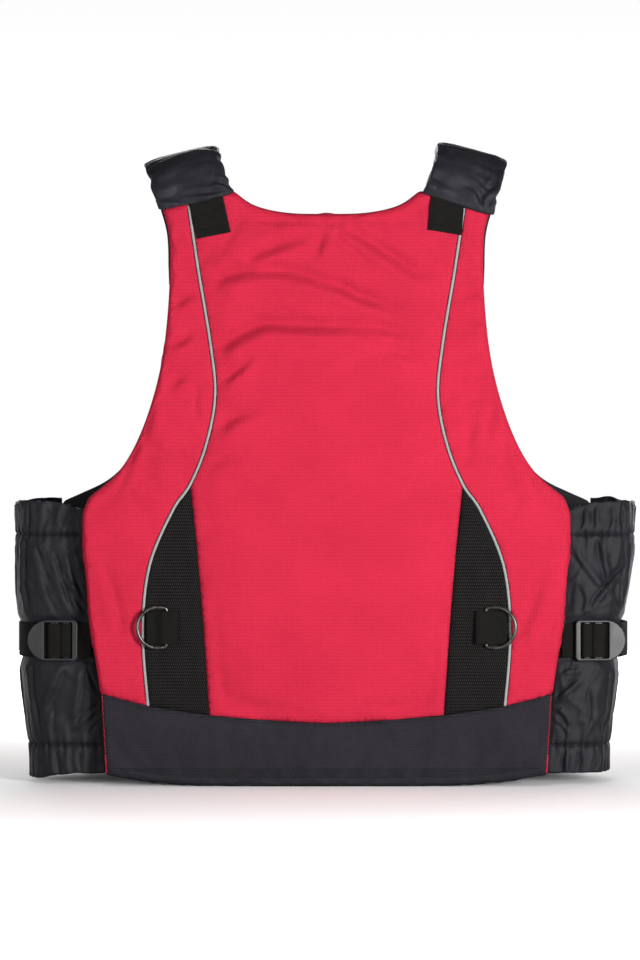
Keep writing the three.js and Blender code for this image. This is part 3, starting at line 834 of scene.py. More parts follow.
class Panel:
    """A foam panel in its sewn cover: outer face, gusset and lining, one closed skin."""

    def __init__(self, name, outline, seams, label, face_y, facing, edge, cap, folds):
        self.face_y, self.facing, self.outline = face_y, facing, outline
        flat, faces, loop = triangulate(outline, seams, (1.1, 2.8, 5.2))
        away, _ = distance_to(flat, outline, True)
        outer = self.round_off(away, edge)
        inner = self.round_off(away, 3.5)
        n, m = len(flat), len(loop)
        levels = np.linspace(edge, DEPTH - 3.5, 5)[1:-1]
        verts = [np.column_stack([flat[:, 0], outer, flat[:, 1]])]
        for q in levels:
            verts.append(np.column_stack([flat[loop, 0], np.full(m, q), flat[loop, 1]]))
        verts.append(np.column_stack([flat[:, 0], DEPTH - inner, flat[:, 1]]))
        verts = np.vstack(verts)
        lining_start = n + m * len(levels)
        rows = [list(loop)]
        rows += [list(range(n + k * m, n + (k + 1) * m)) for k in range(len(levels))]
        rows.append([lining_start + i for i in loop])
        centres = np.array([flat[list(f)].mean(axis=0) for f in faces])
        labels = list(label(centres))
        skin = [tuple(f) for f in faces]
        for a, b in zip(rows[:-1], rows[1:]):
            for i in range(m):
                j = (i + 1) % m
                skin.append((a[i], a[j], b[j], b[i]))
                labels.append(GUSSET)
        for f in faces:
            skin.append(tuple(lining_start + i for i in reversed(f)))
            labels.append(LINING_CLOTH)
        y = face_y - facing * verts[:, 1]
        body = mesh_object(name + "_skin", np.column_stack([verts[:, 0], y, verts[:, 2]]), skin, RED)
        for _ in range(LINING_CLOTH):
            body.data.materials.append(RED)
        body.data.polygons.foreach_set("material_index", np.array(labels, dtype=np.int32))
        face_outward(body)
        self.seam_points = np.vstack([even(s, 1.0) for s in seams])
        held = set(np.nonzero(away < 1.5)[0]) | set(np.nonzero(nearest(flat, self.seam_points) < 0.6)[0])
        held |= set(range(lining_start, lining_start + n))
        shift = inflate(body, sorted(held), 4.0, -0.014, cap)
        move_to(body, coords_of(body) + shift)
        self.crease_seams(body)
        with_modifier(body, "SUBSURF", levels=1, render_levels=1)
        apply_modifiers(body)
        self.detail(body, folds)
        self.body = body

    @staticmethod
    def crease_seams(body):
        """Edges between two pieces of cloth stay where they are when the skin is subdivided."""
        work = bmesh.new()
        work.from_mesh(body.data)
        layer = work.edges.layers.float.new("crease_edge")
        for edge in work.edges:
            if len({f.material_index for f in edge.link_faces}) > 1:
                edge[layer] = 1.0
        work.to_mesh(body.data)
        work.free()

    @staticmethod
    def round_off(away, radius):
        gap = np.clip(radius - away, 0, radius)
        return radius - np.sqrt(np.maximum(radius**2 - gap**2, 0))

    def detail(self, body, folds):
        """Seam channels, puckers beside them and the faint pull of the fabric over the foam."""
        coords = coords_of(body)
        flat = coords[:, [0, 2]]
        depth = (self.face_y - coords[:, 1]) * self.facing
        out = np.clip(1 - depth / 9, 0, 1)
        away, arc = distance_to(flat, self.outline, True)
        near = nearest(flat, self.seam_points)
        wander = ripple(np.column_stack([coords[:, 0], np.zeros(len(flat)), coords[:, 2]]), 14, 3)
        pucker = np.sin(arc / 8.3 * 2 * math.pi + wander * 2.2)
        along_seam = (flat[:, 1] + 0.35 * np.abs(flat[:, 0])) / 7.6 * 2 * math.pi
        seam_pucker = np.sin(along_seam + wander * 2.4)
        move = -1.1 * bell(near, 2.0)
        move += 0.10 * seam_pucker * bell(near - 3.2, 3.2)
        move += 0.12 * pucker * bell(away - 4.5, 4.0)
        move += folds(flat)
        gusset = np.clip((depth - 6) / 4, 0, 1) * np.clip((DEPTH - 4 - depth) / 4, 0, 1)
        wrinkle = 0.25 * np.sin(arc / 11.0 * 2 * math.pi + wander * 3.0)
        wrinkle *= np.sin(math.pi * np.clip(depth / DEPTH, 0, 1))
        coords[:, 1] += self.facing * move * out
        coords += normals_of(body) * (gusset * wrinkle)[:, None]
        move_to(body, coords)

    def maps(self):
        """Cloth coordinates: width and height on the faces, girth and depth on the gusset."""
        coords = coords_of(self.body)
        flat = coords[:, [0, 2]]
        _, arc = distance_to(flat, self.outline, True)
        return flat, np.column_stack([arc, coords[:, 1]])

    def seal(self):
        """A search tree of the finished skin, to lay seams and stitches on."""
        coords = [tuple(v.co / MM) for v in self.body.data.vertices]
        faces = [tuple(f.vertices) for f in self.body.data.polygons]
        self.tree = BVHTree.FromPolygons(coords, faces)

    def lay(self, line):
        """A plan line dropped on the outer face: points and outward normals."""
        side = self.facing
        start = 200.0 * side
        points, normals = [], []
        for x, z in line:
            hit, normal, _, _ = self.tree.ray_cast(Vector((x, start, z)), Vector((0, -side, 0)), 500)
            if hit is None:
                continue
            if normal.y * side < 0:
                normal = -normal
            points.append(tuple(hit))
            normals.append(tuple(normal))
        return np.array(points), np.array(normals)


def foam_pad(name, outline, face_y, facing, inset_by=3.6):
    """The closed-cell foam block inside a panel, its edges softened."""
    line = outline[::2]
    inward = inward_of(outline, line)
    rings = []
    q0, q1, radius = 8.4, DEPTH - 3.0, 3.5
    for angle in np.linspace(0, math.pi / 2, 4):
        rings.append((inset_by + radius * (1 - math.sin(angle)), q0 + radius * (1 - math.cos(angle))))
    for angle in np.linspace(math.pi / 2, 0, 4):
        rings.append((inset_by + radius * (1 - math.sin(angle)), q1 - radius * (1 - math.cos(angle))))
    verts = []
    for gap, q in rings:
        ring = line + inward * gap
        verts.append(np.column_stack([ring[:, 0], np.full(len(ring), face_y - facing * q), ring[:, 1]]))
    faces = strip_faces(len(rings), len(line), close_columns=True)
    faces.append(tuple(range(len(line) - 1, -1, -1)))
    last = (len(rings) - 1) * len(line)
    faces.append(tuple(range(last, last + len(line))))
    piece = mesh_object(name, np.vstack(verts), faces, FOAM, smooth=False)
    work = bmesh.new()
    work.from_mesh(piece.data)
    bmesh.ops.triangulate(work, faces=[f for f in work.faces if len(f.verts) > 4])
    bmesh.ops.recalc_face_normals(work, faces=work.faces)
    work.to_mesh(piece.data)
    work.free()
    return piece


def declare(size, area):
    """Works out a sewn cover's width and length in metres from mm, and its area clamped between 0.301 and
    0.999 of their product; the results are not kept.
    """
    width, length = (float(v) * MM for v in size)
    area = max(min(float(area), 0.999 * width * length), 0.301 * width * length)


def spread(piece):
    face = coords_of(piece)[:, [0, 2]]
    return face.max(axis=0) - face.min(axis=0)


def dress(panel, body, foam, covers, gusset, band):
    """A panel's foam block and its pieces of cloth, each standing for its own node."""
    panel.seal()
    face_map, edge_map = panel.maps()
    pad = foam_pad(f"{foam}_pad", panel.outline, panel.face_y, panel.facing)
    place(pad, body, "foam", foam)
    for label, node, material, slot in covers:
        piece, area = split_piece(panel.body, label, f"{node}_cloth", material, face_map)
        place(piece, body, slot, node)
        declare(spread(piece), area)

    def beside_band(c):
        return c[:, 2] < np.interp(np.abs(c[:, 0]), band[:, 0], band[:, 1])

    piece, area = split_piece(panel.body, GUSSET, f"{gusset}_cloth", RED, edge_map, extra=(NAVY, beside_band))
    place(piece, body, "red_nylon", gusset)
    declare((DEPTH - 6, girth_of(panel.outline)), area)
    bpy.data.objects.remove(panel.body)


# ---------------------------------------------------------------- back panel
HEM = [[0, 0], [50, -0.2], [100, 0.6], [140, 3.8], [173, 9]]
SIDE_LOW = [[173, 9], [176.94, 73]]
SIDE_HIGH = [[176.94, 73], [181, 100], [185, 125], [188, 160], [190.6, 190], [190.8, 214]]
ARMHOLE = [[186, 226], [161, 248], [143, 282], [129.5, 329], [123.5, 380], [123, 428], [128.5, 452.5]]
SHOULDER_EDGE = [[128.5, 452.5], [107.8, 457.0], [73, 466]]
NECK = [[73, 466], [57, 454.5], [32, 448.6], [0, 447.6]]
BAND_KNOTS = [[0, 49.5], [45, 52], [91.5, 56], [139.3, 63.2], [176.94, 73]]
PIPING = [[107.8, 455.4], [100, 403], [90.5, 345], [87, 305], [94, 267], [106.4, 236], [120.4, 215],
          [138.3, 172], [143.4, 120], [139.3, 63.2]]
APEX, FOOT = [106.4, 236], [91.5, 56]


def neck_line(count):
    """From the shoulder to the middle; one point beyond keeps the curve level there."""
    return np.array([catmull(NECK + [[-32, 448.6]], t) for t in np.linspace(0, 0.75, count)])


half = link_up(
    even(HEM, STEP), even(SIDE_LOW, STEP), even(curve(SIDE_HIGH, 1.0), STEP),
    even([SIDE_HIGH[-1], ARMHOLE[0]], STEP), curve(ARMHOLE, STEP),
    even(SHOULDER_EDGE[:2], STEP), even(SHOULDER_EDGE[1:], STEP), even(neck_line(60), STEP),
)
half[0] = HEM[0]
half[-1] = NECK[-1]
BACK_OUTLINE = both_sides(half)


def through_knots(knots, spacing):
    """A smooth line sampled so that every knot is a point of it."""
    parts = []
    n = len(knots) - 1
    for k in range(n):
        fine = [catmull(knots, (k + t) / n) for t in np.linspace(0, 1, 20)]
        parts.append(even(fine, spacing))
    return link_up(*parts)


band_half = through_knots(BAND_KNOTS, STEP)
BAND = np.vstack([band_half[::-1] * [-1, 1], band_half[1:]])
PIPE = through_knots(PIPING, STEP)
MESH_SEAM = even([APEX, [101.5, 190], [96.5, 130], FOOT], STEP)
seams = [BAND] + [PIPE * [s, 1] for s in (1, -1)] + [MESH_SEAM * [s, 1] for s in (1, -1)]


def back_label(points):
    x, z = np.abs(points[:, 0]), points[:, 1]
    right = points[:, 0] > 0
    band = z < np.interp(x, band_half[:, 0], band_half[:, 1])
    pipe = np.interp(z, PIPE[::-1, 1], PIPE[::-1, 0])
    seam = np.interp(z, MESH_SEAM[::-1, 1], MESH_SEAM[::-1, 0])
    labels = np.full(len(points), CENTRE)
    wedge = (z < APEX[1]) & (x > seam)
    labels[wedge] = np.where(right[wedge], RIGHT_MESH, LEFT_MESH)
    side = x > pipe
    labels[side] = np.where(right[side], RIGHT_CLOTH, LEFT_CLOTH)
    labels[band] = BAND_CLOTH
    return labels


# soft pulls of the cover over the foam: a line, the depth and the width of its groove
PULLS = (
    ([[-91, 393], [-75, 400], [-58, 403], [-26, 402], [6, 391], [26, 383], [47, 376]], 1.7, 5.6),
    ([[-87, 339], [-73, 350], [-62, 356], [-48, 362], [-28, 361], [11, 360], [40, 358], [62, 352]], 2.2, 6.0),
    ([[-85, 314], [-73, 323], [-62, 333], [-58, 341]], 1.6, 3.8),
    ([[-88, 276], [-78, 284], [-68, 290], [-50, 294]], 1.3, 4.6),
    ([[-93, 252], [-80, 255], [-66, 253]], 0.8, 4.0),
    ([[-66, 409], [-48, 419], [-26, 427], [-10, 431]], 1.5, 5.4),
    ([[-10, 409], [-6, 422], [-1, 436]], 1.0, 3.6),
    ([[12, 439], [30, 428], [55, 412], [70, 402], [97, 401]], 1.7, 5.0),
    ([[2, 432], [21, 418], [38, 402]], 0.9, 4.2),
    ([[3, 397], [16, 389], [29, 382], [50, 375], [66, 365]], 1.4, 5.0),
    ([[34, 360], [50, 357], [76, 351]], 1.0, 4.6),
    ([[44, 342], [62, 338], [78, 332]], 0.9, 4.4),
    ([[105, 386], [115, 386], [125, 385]], 0.7, 3.4),
    ([[103, 366], [115, 364], [126, 362]], 0.7, 3.6),
    ([[-127, 344], [-113, 349], [-103, 357]], 1.5, 4.4),
    ([[-122, 372], [-112, 381], [-100, 388]], 1.1, 3.8),
    ([[-129, 310], [-118, 316], [-108, 326]], 1.0, 4.0),
    ([[-101, 316], [-102, 300], [-101, 284]], 0.6, 3.2),
    ([[-62, 446], [-45, 441.5], [-12, 440], [20, 440.5], [45, 443], [60, 447]], 0.5, 2.0),
    ([[9, 446], [10, 438], [13, 431]], 1.1, 2.8),
    ([[-145, 272], [-156, 246], [-166, 226]], 1.0, 3.6),
    ([[-133, 300], [-139, 282], [-146, 262]], 0.8, 3.2),
    ([[146, 268], [157, 244], [166, 224]], 0.8, 3.6),
    ([[133, 322], [130, 298], [125, 274], [121, 250]], 0.6, 4.8),
    ([[117, 300], [113.5, 280], [110, 262], [107, 246]], 0.7, 5.2),
    ([[-160, 118], [-166, 150], [-176, 180]], 0.9, 4.0),
    ([[150, 112], [160, 140], [172, 176]], 0.7, 4.5),
)


def back_folds(flat):
    """Outward moves of the back's cover: broad diagonal waves, the drawn pulls and the shoulder tucks."""
    x, z = flat[:, 0], flat[:, 1]
    pts = np.column_stack([x, np.zeros(len(x)), z])
    wander = ripple(pts, 90, 7)
    strength = 0.5 + 0.5 * ripple(pts, 120, 11)
    diagonal = np.sin(((z - 0.55 * np.abs(x)) / 24 + wander * 1.4) * 2 * math.pi)
    upper = np.clip((z - 190) / 120, 0, 1)
    drift = ripple(np.column_stack([x * 0.6, np.zeros(len(x)), z]), 55, 21)
    crease = np.zeros(len(x))
    for line, depth, width in PULLS:
        cross, fade = fold_along(flat, line, 3, 10, 0.45, 0.5)
        above = z - np.interp(x, *np.array(sorted(line)).T)
        signed = np.where(above > 0, cross, -cross)
        ridge = 0.55 * bell(signed + 1.5 * width, 1.3 * width)
        crease += fade * 2.7 * depth * (ridge - bell(signed, width))
    tuck = bell(np.abs(x) - 62, 16) * bell(z - 441 - 0.05 * (75 - np.abs(x)), 1.6)
    crease += -0.7 * tuck
    return 0.55 * diagonal * strength * (0.2 + 0.8 * upper) + 0.5 * drift + crease


back_panel = Panel("back", BACK_OUTLINE, seams, back_label, BACK_Y, -1, 5.5, 3.4, back_folds)
BACK_COVERS = (
    (CENTRE, "back_center_panel", RED, "red_nylon"),
    (BAND_CLOTH, "back_hem_band", NAVY, "navy_band"),
    (RIGHT_CLOTH, "back_side_panel_right", RED, "red_nylon"),
    (LEFT_CLOTH, "back_side_panel_left", RED, "red_nylon"),
    (RIGHT_MESH, "back_mesh_right", MESH, "black_mesh"),
    (LEFT_MESH, "back_mesh_left", MESH, "black_mesh"),
    (LINING_CLOTH, "back_lining", LINING, "lining"),
)
dress(back_panel, "back", "back_foam", BACK_COVERS, "back_gusset", band_half)

# ---------------------------------------------------------------- piping and topstitching on the back
SIDES = (("right", 1), ("left", -1))


def stitched(name, panel, line, material, pitch=2.7, length=2.0, radius=0.24, lift=0.05, body="back"):
    points, normals = panel.lay(line)
    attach(stitch_row(name, points, normals, material, pitch, length, radius, lift), body)


def back_trim(word, side):
    """Piping, the stitch rows beside it and down the side seam, and the rolled armhole edge."""
    line = even(curve(PIPING, 1.5), 1.5) * [side, 1]
    points, normals = back_panel.lay(line)
    points = points - np.array([0, 0.35, 0])
    cord = tube(f"reflective_piping_{word}_cord", points, 1.05, REFLECT, up=(0, -1, 0), sides=14)
    place(cord, "back", "reflective", f"reflective_piping_{word}")
    for tag, gap in (("in", -1), ("out", 1)):
        flange = sideways(even(curve(PIPING, 2), 2), 1.45 * gap)
        flange = flange[(flange[:, 1] > 64) & (flange[:, 1] < 452)] * [side, 1]
        stitched(f"piping_stitch_{word}_{tag}", back_panel, flange, DARK_THREAD, 2.2, 2.0, 0.26, 0.25)

    edge = [[174.5, 14], [178.6, 73], [186.6, 125], [189.6, 160], [191.8, 190], [191.8, 208]]
    edge = sideways(even(curve(edge, 2), 2), 4.6)
    edge = edge[edge[:, 1] > 72] * [side, 1]
    stitched(f"side_stitch_{word}", back_panel, edge, RED_THREAD, 3.0, 2.3, 0.3)
    seam = even([[172.5, 24], [175.4, 74]], 2.4)
    zig = np.array([p + [0.35 if k % 2 else -0.35, 0] for k, p in enumerate(seam)])
    stitched(f"side_zigzag_{word}", back_panel, zig * [side, 1], RED_THREAD, 2.4, 1.7, 0.34, 0.1)
    tip = even([[171.6, 10.5], [172.6, 25]], 1)
    points, normals = back_panel.lay(tip * [side, 1])
    across = np.cross(normals, np.gradient(points, axis=0))
    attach(strap(f"side_seam_tape_{word}", points + normals * 0.3, across, RED, 1.7, 0.5), "back")
    roll = curve(ARMHOLE, 2)
    roll = roll[roll[:, 1] > 392]
    lift = np.clip((roll[:, 1] - 392) / 16, 0, 1)
    line = np.column_stack([side * (roll[:, 0] + 0.9 * lift - 0.6), np.full(len(roll), -60.0), roll[:, 1]])
    binding = tube(f"armhole_binding_{word}", line, 1.7, NAVY, up=(0, -1, 0), sides=12)
    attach(binding, "back")

def whole_line(half):
    """A half line and its mirror image, from left to right."""
    line = even(both_sides(half)[: 2 * len(half) - 1], 2)
    return line[np.argsort(line[:, 0])]


for word, side in SIDES:
    back_trim(word, side)
neck = even(whole_line(neck_line(90)), 2) - [0, 4.2]
stitched("neck_stitch", back_panel, neck[3:-3], RED_THREAD, 2.8, 2.1, 0.24)
stitched("band_stitch", back_panel, even(BAND, 2)[2:-2] - [0, 2.6], DARK_THREAD, 2.8, 2.0, 0.2)
hem = whole_line(curve(HEM, 2))
stitched("hem_stitch", back_panel, hem[4:-4] + [0, 6.4], DARK_THREAD, 2.8, 2.0, 0.2)

# ---------------------------------------------------------------- gathered nylon sides
STRAP_Z = 113.5
SIDE_EDGE = np.array([[173, 9], [177, 74], [185, 125], [188, 160], [190.6, 190], [190.6, 214]])
FRONT_SIDE = np.array([[204, 9], [216, 222]])


def side_line(z, side=0):
    """Plan line of the nylon side at a height. The left side stands a little wider than the right."""
    back = np.interp(min(max(z, 9.5), 213), SIDE_EDGE[:, 1], SIDE_EDGE[:, 0]) + 1
    front = np.interp(z, FRONT_SIDE[:, 1], FRONT_SIDE[:, 0]) + 1
    wide = 232 + 17 * (max(z - 10, 0) / 212) ** 1.5
    if side < 0:
        wide += float(np.interp(z, [9, 27, 90, 140, 180, 224], [4.6, 5.2, 5.6, 4.2, 2.4, 2.0]))
    elif side > 0:
        wide -= float(np.interp(z, [9, 27, 90, 140, 180, 224], [6.0, 5.8, 5.0, 3.6, 0.0, 0.0]))
    return np.array([
        [back, -62], [back + 0.72 * (wide - back), -57.5], [wide - 3, -36], [wide, -5],
        [front + 0.72 * (wide - front), 36], [front, 53],
    ])


def along_side(line, t):
    """Unit vectors along the side's plan line."""
    e = 1e-3
    return unit(np.array([catmull(line, min(v + e, 1)) - catmull(line, max(v - e, 0)) for v in t]))


def on_side(side, t, z, rise, wide=0):
    """Points t along the side's plan line at a height, a little outwards or inwards of it."""
    line = side_line(z, wide)
    p = np.array([catmull(line, v) for v in t])
    d = along_side(line, t)
    x = p[:, 0] + d[:, 1] * rise
    y = p[:, 1] - d[:, 0] * rise
    return np.column_stack([side * x, y, np.full(len(t), z)])


UPPER, LOWER = 197.0, 31.0
# folds of the nylon between its two gathered lines: a line of (girth, height), its depth and width
SIDE_PULLS_LEFT = (
    ([[48, 195], [49, 165], [48, 132]], 3.2, 2.6),
    ([[38, 189], [33, 172], [26, 152]], 1.7, 2.4),
    ([[23, 184], [17, 158], [11, 133]], 2.2, 2.4),
    ([[11, 186], [8, 164], [1, 143]], 2.2, 2.2),
    ([[17, 168], [12, 160], [2, 156]], 1.2, 1.6),
    ([[14, 152], [9, 146], [2, 134]], 1.4, 1.6),
    ([[34, 168], [30, 150], [24, 132]], 1.2, 2.2),
    ([[24, 92], [34, 72], [45, 50]], 1.8, 2.8),
    ([[8, 94], [5, 82], [1, 72]], 1.8, 2.0),
    ([[10, 92], [15, 66], [20, 40]], 2.2, 2.4),
    ([[1, 57], [13, 47], [24, 38]], 2.0, 2.0),
    ([[1, 64], [9, 58], [15, 56]], 1.3, 1.4),
    ([[1, 50], [8, 44], [13, 37]], 1.4, 1.5),
    ([[52, 96], [54, 66], [51, 38]], 2.0, 2.8),
    ([[36, 62], [38, 48], [41, 35]], 1.5, 2.0),
    ([[14, 220], [16, 210], [15, 200]], 1.6, 2.2),
    ([[30, 222], [29, 212], [31, 200]], 1.2, 2.4),
    ([[46, 221], [45, 210], [47, 200]], 1.6, 2.4),
    ([[18, 8], [20, 18], [19, 28]], 1.6, 2.0),
    ([[26, 8], [27, 18], [26, 28]], 1.6, 2.0),
    ([[37, 7], [38, 18], [40, 28]], 1.6, 2.2),
    ([[86, 192], [84, 160], [88, 132]], 2.2, 3.2),
    ([[118, 190], [114, 160], [110, 134]], 2.0, 3.2),
    ([[84, 92], [88, 66], [84, 40]], 2.0, 3.2),
    ([[122, 90], [116, 66], [120, 40]], 2.0, 3.2),
)
SIDE_PULLS_RIGHT = (
    ([[20, 195], [24, 179], [31, 156], [33, 143]], 2.2, 2.4),
    ([[47, 172], [37, 165], [21, 144], [20, 136]], 2.4, 2.2),
    ([[1, 182], [10, 171], [23, 156], [34, 150]], 1.6, 2.2),
    ([[46, 136], [40, 150], [42, 162]], 1.8, 2.2),
    ([[12, 134], [14, 146], [8, 158]], 1.4, 1.8),
    ([[54, 194], [52, 165], [52, 134]], 2.2, 2.6),
    ([[2, 88], [12, 93], [22, 92]], 1.8, 1.8),
    ([[1, 67], [11, 77], [22, 87]], 2.4, 2.2),
    ([[1, 58], [9, 53], [14, 43]], 1.9, 1.8),
    ([[1, 49], [8, 45], [14, 36]], 1.5, 1.6),
    ([[1, 76], [8, 80], [13, 82]], 1.2, 1.4),
    ([[42, 92], [46, 68], [44, 38]], 2.2, 2.6),
    ([[28, 76], [31, 58], [28, 40]], 1.4, 2.6),
    ([[8, 220], [9, 210], [7, 200]], 1.7, 2.0),
    ([[20, 222], [18, 210], [20, 200]], 1.8, 2.0),
    ([[32, 221], [33, 210], [31, 200]], 1.6, 2.2),
    ([[45, 221], [44, 210], [46, 200]], 1.6, 2.2),
    ([[12, 10], [11, 18], [13, 28]], 1.7, 2.0),
    ([[24, 9], [25, 18], [23, 28]], 1.5, 2.2),
    ([[38, 10], [40, 18], [38, 28]], 1.5, 2.2),
    ([[84, 192], [88, 160], [84, 132]], 2.2, 3.2),
    ([[116, 190], [120, 160], [114, 134]], 2.0, 3.2),
    ([[88, 92], [84, 66], [88, 40]], 2.0, 3.2),
    ([[118, 90], [122, 66], [116, 40]], 2.0, 3.2),
)


def crest(value, width):
    """A ridge where the value crosses zero."""
    return np.clip(1 - np.abs(value) / width, 0, 1) ** 1.6


def gathers(at, s, z, ruffle):
    """Small waves at the two gathered lines, and broad ones between and beyond them."""
    near_up, near_low = np.abs(z - UPPER), np.abs(z - LOWER)
    phase = ripple(at(s, np.zeros(len(s))), 23, 1) * 3.4
    drift = ripple(at(s, z), 38, 2) * 1.6
    gather = np.sin(s / 6.6 * 2 * math.pi + phase + drift * 0.35)
    coarse = np.sin(s / 13.5 * 2 * math.pi + phase * 0.8 + drift)
    fine = np.sin(s / 4.6 * 2 * math.pi + 2.2 * phase)
    patchy = 0.55 + 0.45 * ripple(at(s, z * 0.5), 30, 17)
    flare = np.clip((LOWER - z) / 22, 0, 1)
    pucker = 0.8 * gather + 0.45 * fine
    move = 1.35 * pucker * (bell(near_up, 5.0, 1) + bell(near_low, 5.0, 1)) * (0.4 + 0.6 * patchy)
    move += 1.0 * coarse * bell(near_up - 12, 14) * (z < UPPER) * patchy
    move += 1.1 * coarse * bell(near_low - 12, 13) * (z > LOWER) * patchy
    move += (1.1 * coarse + 0.35 * gather) * ruffle * patchy + (1.2 * coarse + 0.4 * gather) * flare * patchy
    return move


def crumples(at, s, z, warp):
    """Creases of the loose nylon, running up and down and aslant both ways."""
    long = ripple(at(s, z * 0.22), 15, 5)
    slant = ripple(at(s * 0.85 + z * 0.45, z * 0.35 - s * 0.25), 17, 9)
    crush = ripple(at(s, z * 0.8), 9.5, 13)
    slant_a = ripple(at((s + warp) * 0.9 + z * 0.55, z * 0.4 - s * 0.3), 25, 61)
    slant_b = ripple(at((s - warp) * 0.9 - z * 0.4, z * 0.5 + s * 0.2), 16, 67)
    crumple = 0.9 * crest(slant_a, 0.26) + 0.6 * crest(slant_b, 0.2) + 0.25 * crest(crush, 0.2)
    return crumple + (0.6 * long + 0.7 * slant - 0.5)


def side_folds(side, s, t, z):
    """Outward moves of the gathered nylon, in mm. s is the girth, z the height."""
    seed = 40 if side > 0 else 0

    def at(girth, height):
        return np.column_stack([girth, np.full(len(s), seed), height])

    near_up, near_low = np.abs(z - UPPER), np.abs(z - LOWER)
    ruffle = np.clip((z - UPPER) / 27, 0, 1)
    warp = 7 * ripple(at(s, z), 45, 23)
    free = np.clip(np.minimum(near_up, near_low) / 14, 0.25, 1)
    facing = 0.3 + 0.8 * bell(t, 0.34, 4)
    move = gathers(at, s, z, ruffle)
    move += crumples(at, s, z, warp) * free * facing
    plan = np.column_stack([s + 0.25 * warp, z])
    for line, depth, width in (SIDE_PULLS_LEFT if side < 0 else SIDE_PULLS_RIGHT):
        cross, fade = fold_along(plan, line, 3, 6, 0.3)
        beyond = plan[:, 0] - np.interp(-z, *np.array(sorted((-b, a) for a, b in line)).T)
        signed = np.where(beyond > 0, cross, -cross)
        ridge = 0.8 * bell(signed - 1.5 * width, 1.3 * width)
        move += fade * depth * (ridge - 1.15 * bell(np.abs(signed), 0.62 * width, 1))
    move += -2.6 * ruffle
    puff = 3.0 * np.sin(math.pi * np.clip((z - LOWER) / (UPPER - LOWER), 0, 1)) ** 0.8
    strapped = bell(np.abs(z - STRAP_Z), 18, 6)
    move = move * (1 - 0.86 * strapped) + puff * (1 - strapped) * ((z < UPPER) & (z > LOWER))
    move += -1.9 * bell(near_up, 1.5, 1) - 1.9 * bell(near_low, 1.5, 1)
    ends = np.clip(np.minimum(t, 1 - t) / 0.055, 0, 1)
    return move * (0.25 + 0.75 * ends) - 0.4


def shell_heights():
    """Rows of the nylon, closer together at the gathered lines."""
    near_lines = np.arange(-4.2, 4.3, 0.7)
    heights = np.r_[UPPER + near_lines, LOWER + near_lines]
    for z in np.arange(9, 224.5, 1.7):
        if np.min(np.abs(heights - z)) > 0.6:
            heights = np.r_[heights, z]
    return np.sort(heights)


def edge_sag(side, s, t, z):
    """How the free edges above and below the gathered lines rise and hang."""
    zeros = np.zeros(len(s))
    wavy = ripple(np.column_stack([s, zeros, zeros]), 18, 31 * side)
    ruffle, flare = np.clip((z - UPPER) / 27, 0, 1), np.clip((LOWER - z) / 22, 0, 1)
    sag = 1.6 * wavy * flare + 2.0 * wavy * ruffle
    sag -= ruffle * (7 * bell(t, 0.07) + 6 * bell(t - 0.45, 0.10))
    sag += ruffle * 2.2 * np.clip((t - 0.7) / 0.2, 0, 1)
    if side < 0:
        sag -= 5 * flare * bell(t - 0.36, 0.2, 4)
    return sag


def side_shell(word, side):
    """The gathered nylon of one side, and its area in square metres."""
    columns = 190
    t = np.linspace(0, 1, columns)
    heights = shell_heights()
    verts, uv = [], []
    for z in heights:
        mid = on_side(side, t, z, 0, side)
        s = np.r_[0, np.cumsum(np.linalg.norm(np.diff(mid, axis=0), axis=1))]
        move = side_folds(side, s, t, np.full(columns, z))
        d = along_side(side_line(z, side), t)
        x, y = mid[:, 0] + side * d[:, 1] * move, mid[:, 1] - d[:, 0] * move
        verts.append(np.column_stack([x, y, mid[:, 2] + edge_sag(side, s, t, z)]))
        uv.append(np.column_stack([s, np.full(columns, z)]))
    faces = strip_faces(len(heights), columns)
    piece = mesh_object(f"side_shell_{word}_nylon", np.vstack(verts), faces, SHINY, np.vstack(uv))
    area = sum(f.area for f in piece.data.polygons)
    with_modifier(piece, "SOLIDIFY", thickness=0.7 * MM, offset=0)
    apply_modifiers(piece)
    return piece, area


def side_ribbon(name, side, z0, z1, t0, t1, rise, thickness, material, steps=60, wide=None):
    t = np.linspace(t0, t1, steps)
    middle_line = on_side(side, t, (z0 + z1) / 2, rise, side if wide is None else wide)
    return strap(name, middle_line, (0, 0, 1), material, z1 - z0, thickness)


def join_front(piece, word, slot, *nodes):
    """Hides the CAD nodes that the piece stands for, when a slot is given, and bakes the piece's placement
    into its mesh.
    """
    if slot:
        place(piece, None, slot, *nodes)
    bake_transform(piece)


def gathered_line(tag, word, side, z):
    """The elastic behind the nylon at a gathered line and its two rows of stitches."""
    band = side_ribbon(f"side_elastic_{tag}_{word}_band", side, z - 6, z + 6, 0.04, 0.96, -3.0, 1.1, ELASTIC)
    join_front(band, word, "elastic", f"side_elastic_{tag}_{word}")
    t = np.linspace(0.03, 0.97, 90)
    for row, dz in (("a", -3.0), ("b", 3.0)):
        line = on_side(side, t, z + dz, -0.9, side)
        normal = unit(line - on_side(side, t, z + dz, -4, side))
        name = f"side_gather_stitch_{tag}_{row}_{word}"
        join_front(stitch_row(name, line, normal, DARK_THREAD, 3.4, 2.3, 0.25, 0.0), word, None)


def side_straps(word, side):
    """The short strap from the back to the ladder-lock, and the long one from there to the front."""
    low, high, wide = 100, 127, min(side, 0)
    rise = 1.9 + 6.5 * np.linspace(1, 0, 14) ** 2
    fixed = side_ribbon(
        f"side_strap_fixed_{word}_web", side, low, high, 0.0, 0.09, rise, 1.4, WEBBING, len(rise), wide
    )
    place(fixed, "back", "webbing", f"side_strap_fixed_{word}")
    long_strap = side_ribbon(
        f"side_strap_long_{word}_web", side, low, high, 0.11, 0.995, 1.9, 1.4, WEBBING, 90, wide
    )
    join_front(long_strap, word, "webbing", f"side_strap_long_{word}")


for word, side in SIDES:
    shell, area = side_shell(word, side)
    join_front(shell, word, "navy_nylon", f"side_shell_{word}")
    gathered_line("upper", word, side, UPPER)
    gathered_line("lower", word, side, LOWER + 1)
    side_straps(word, side)

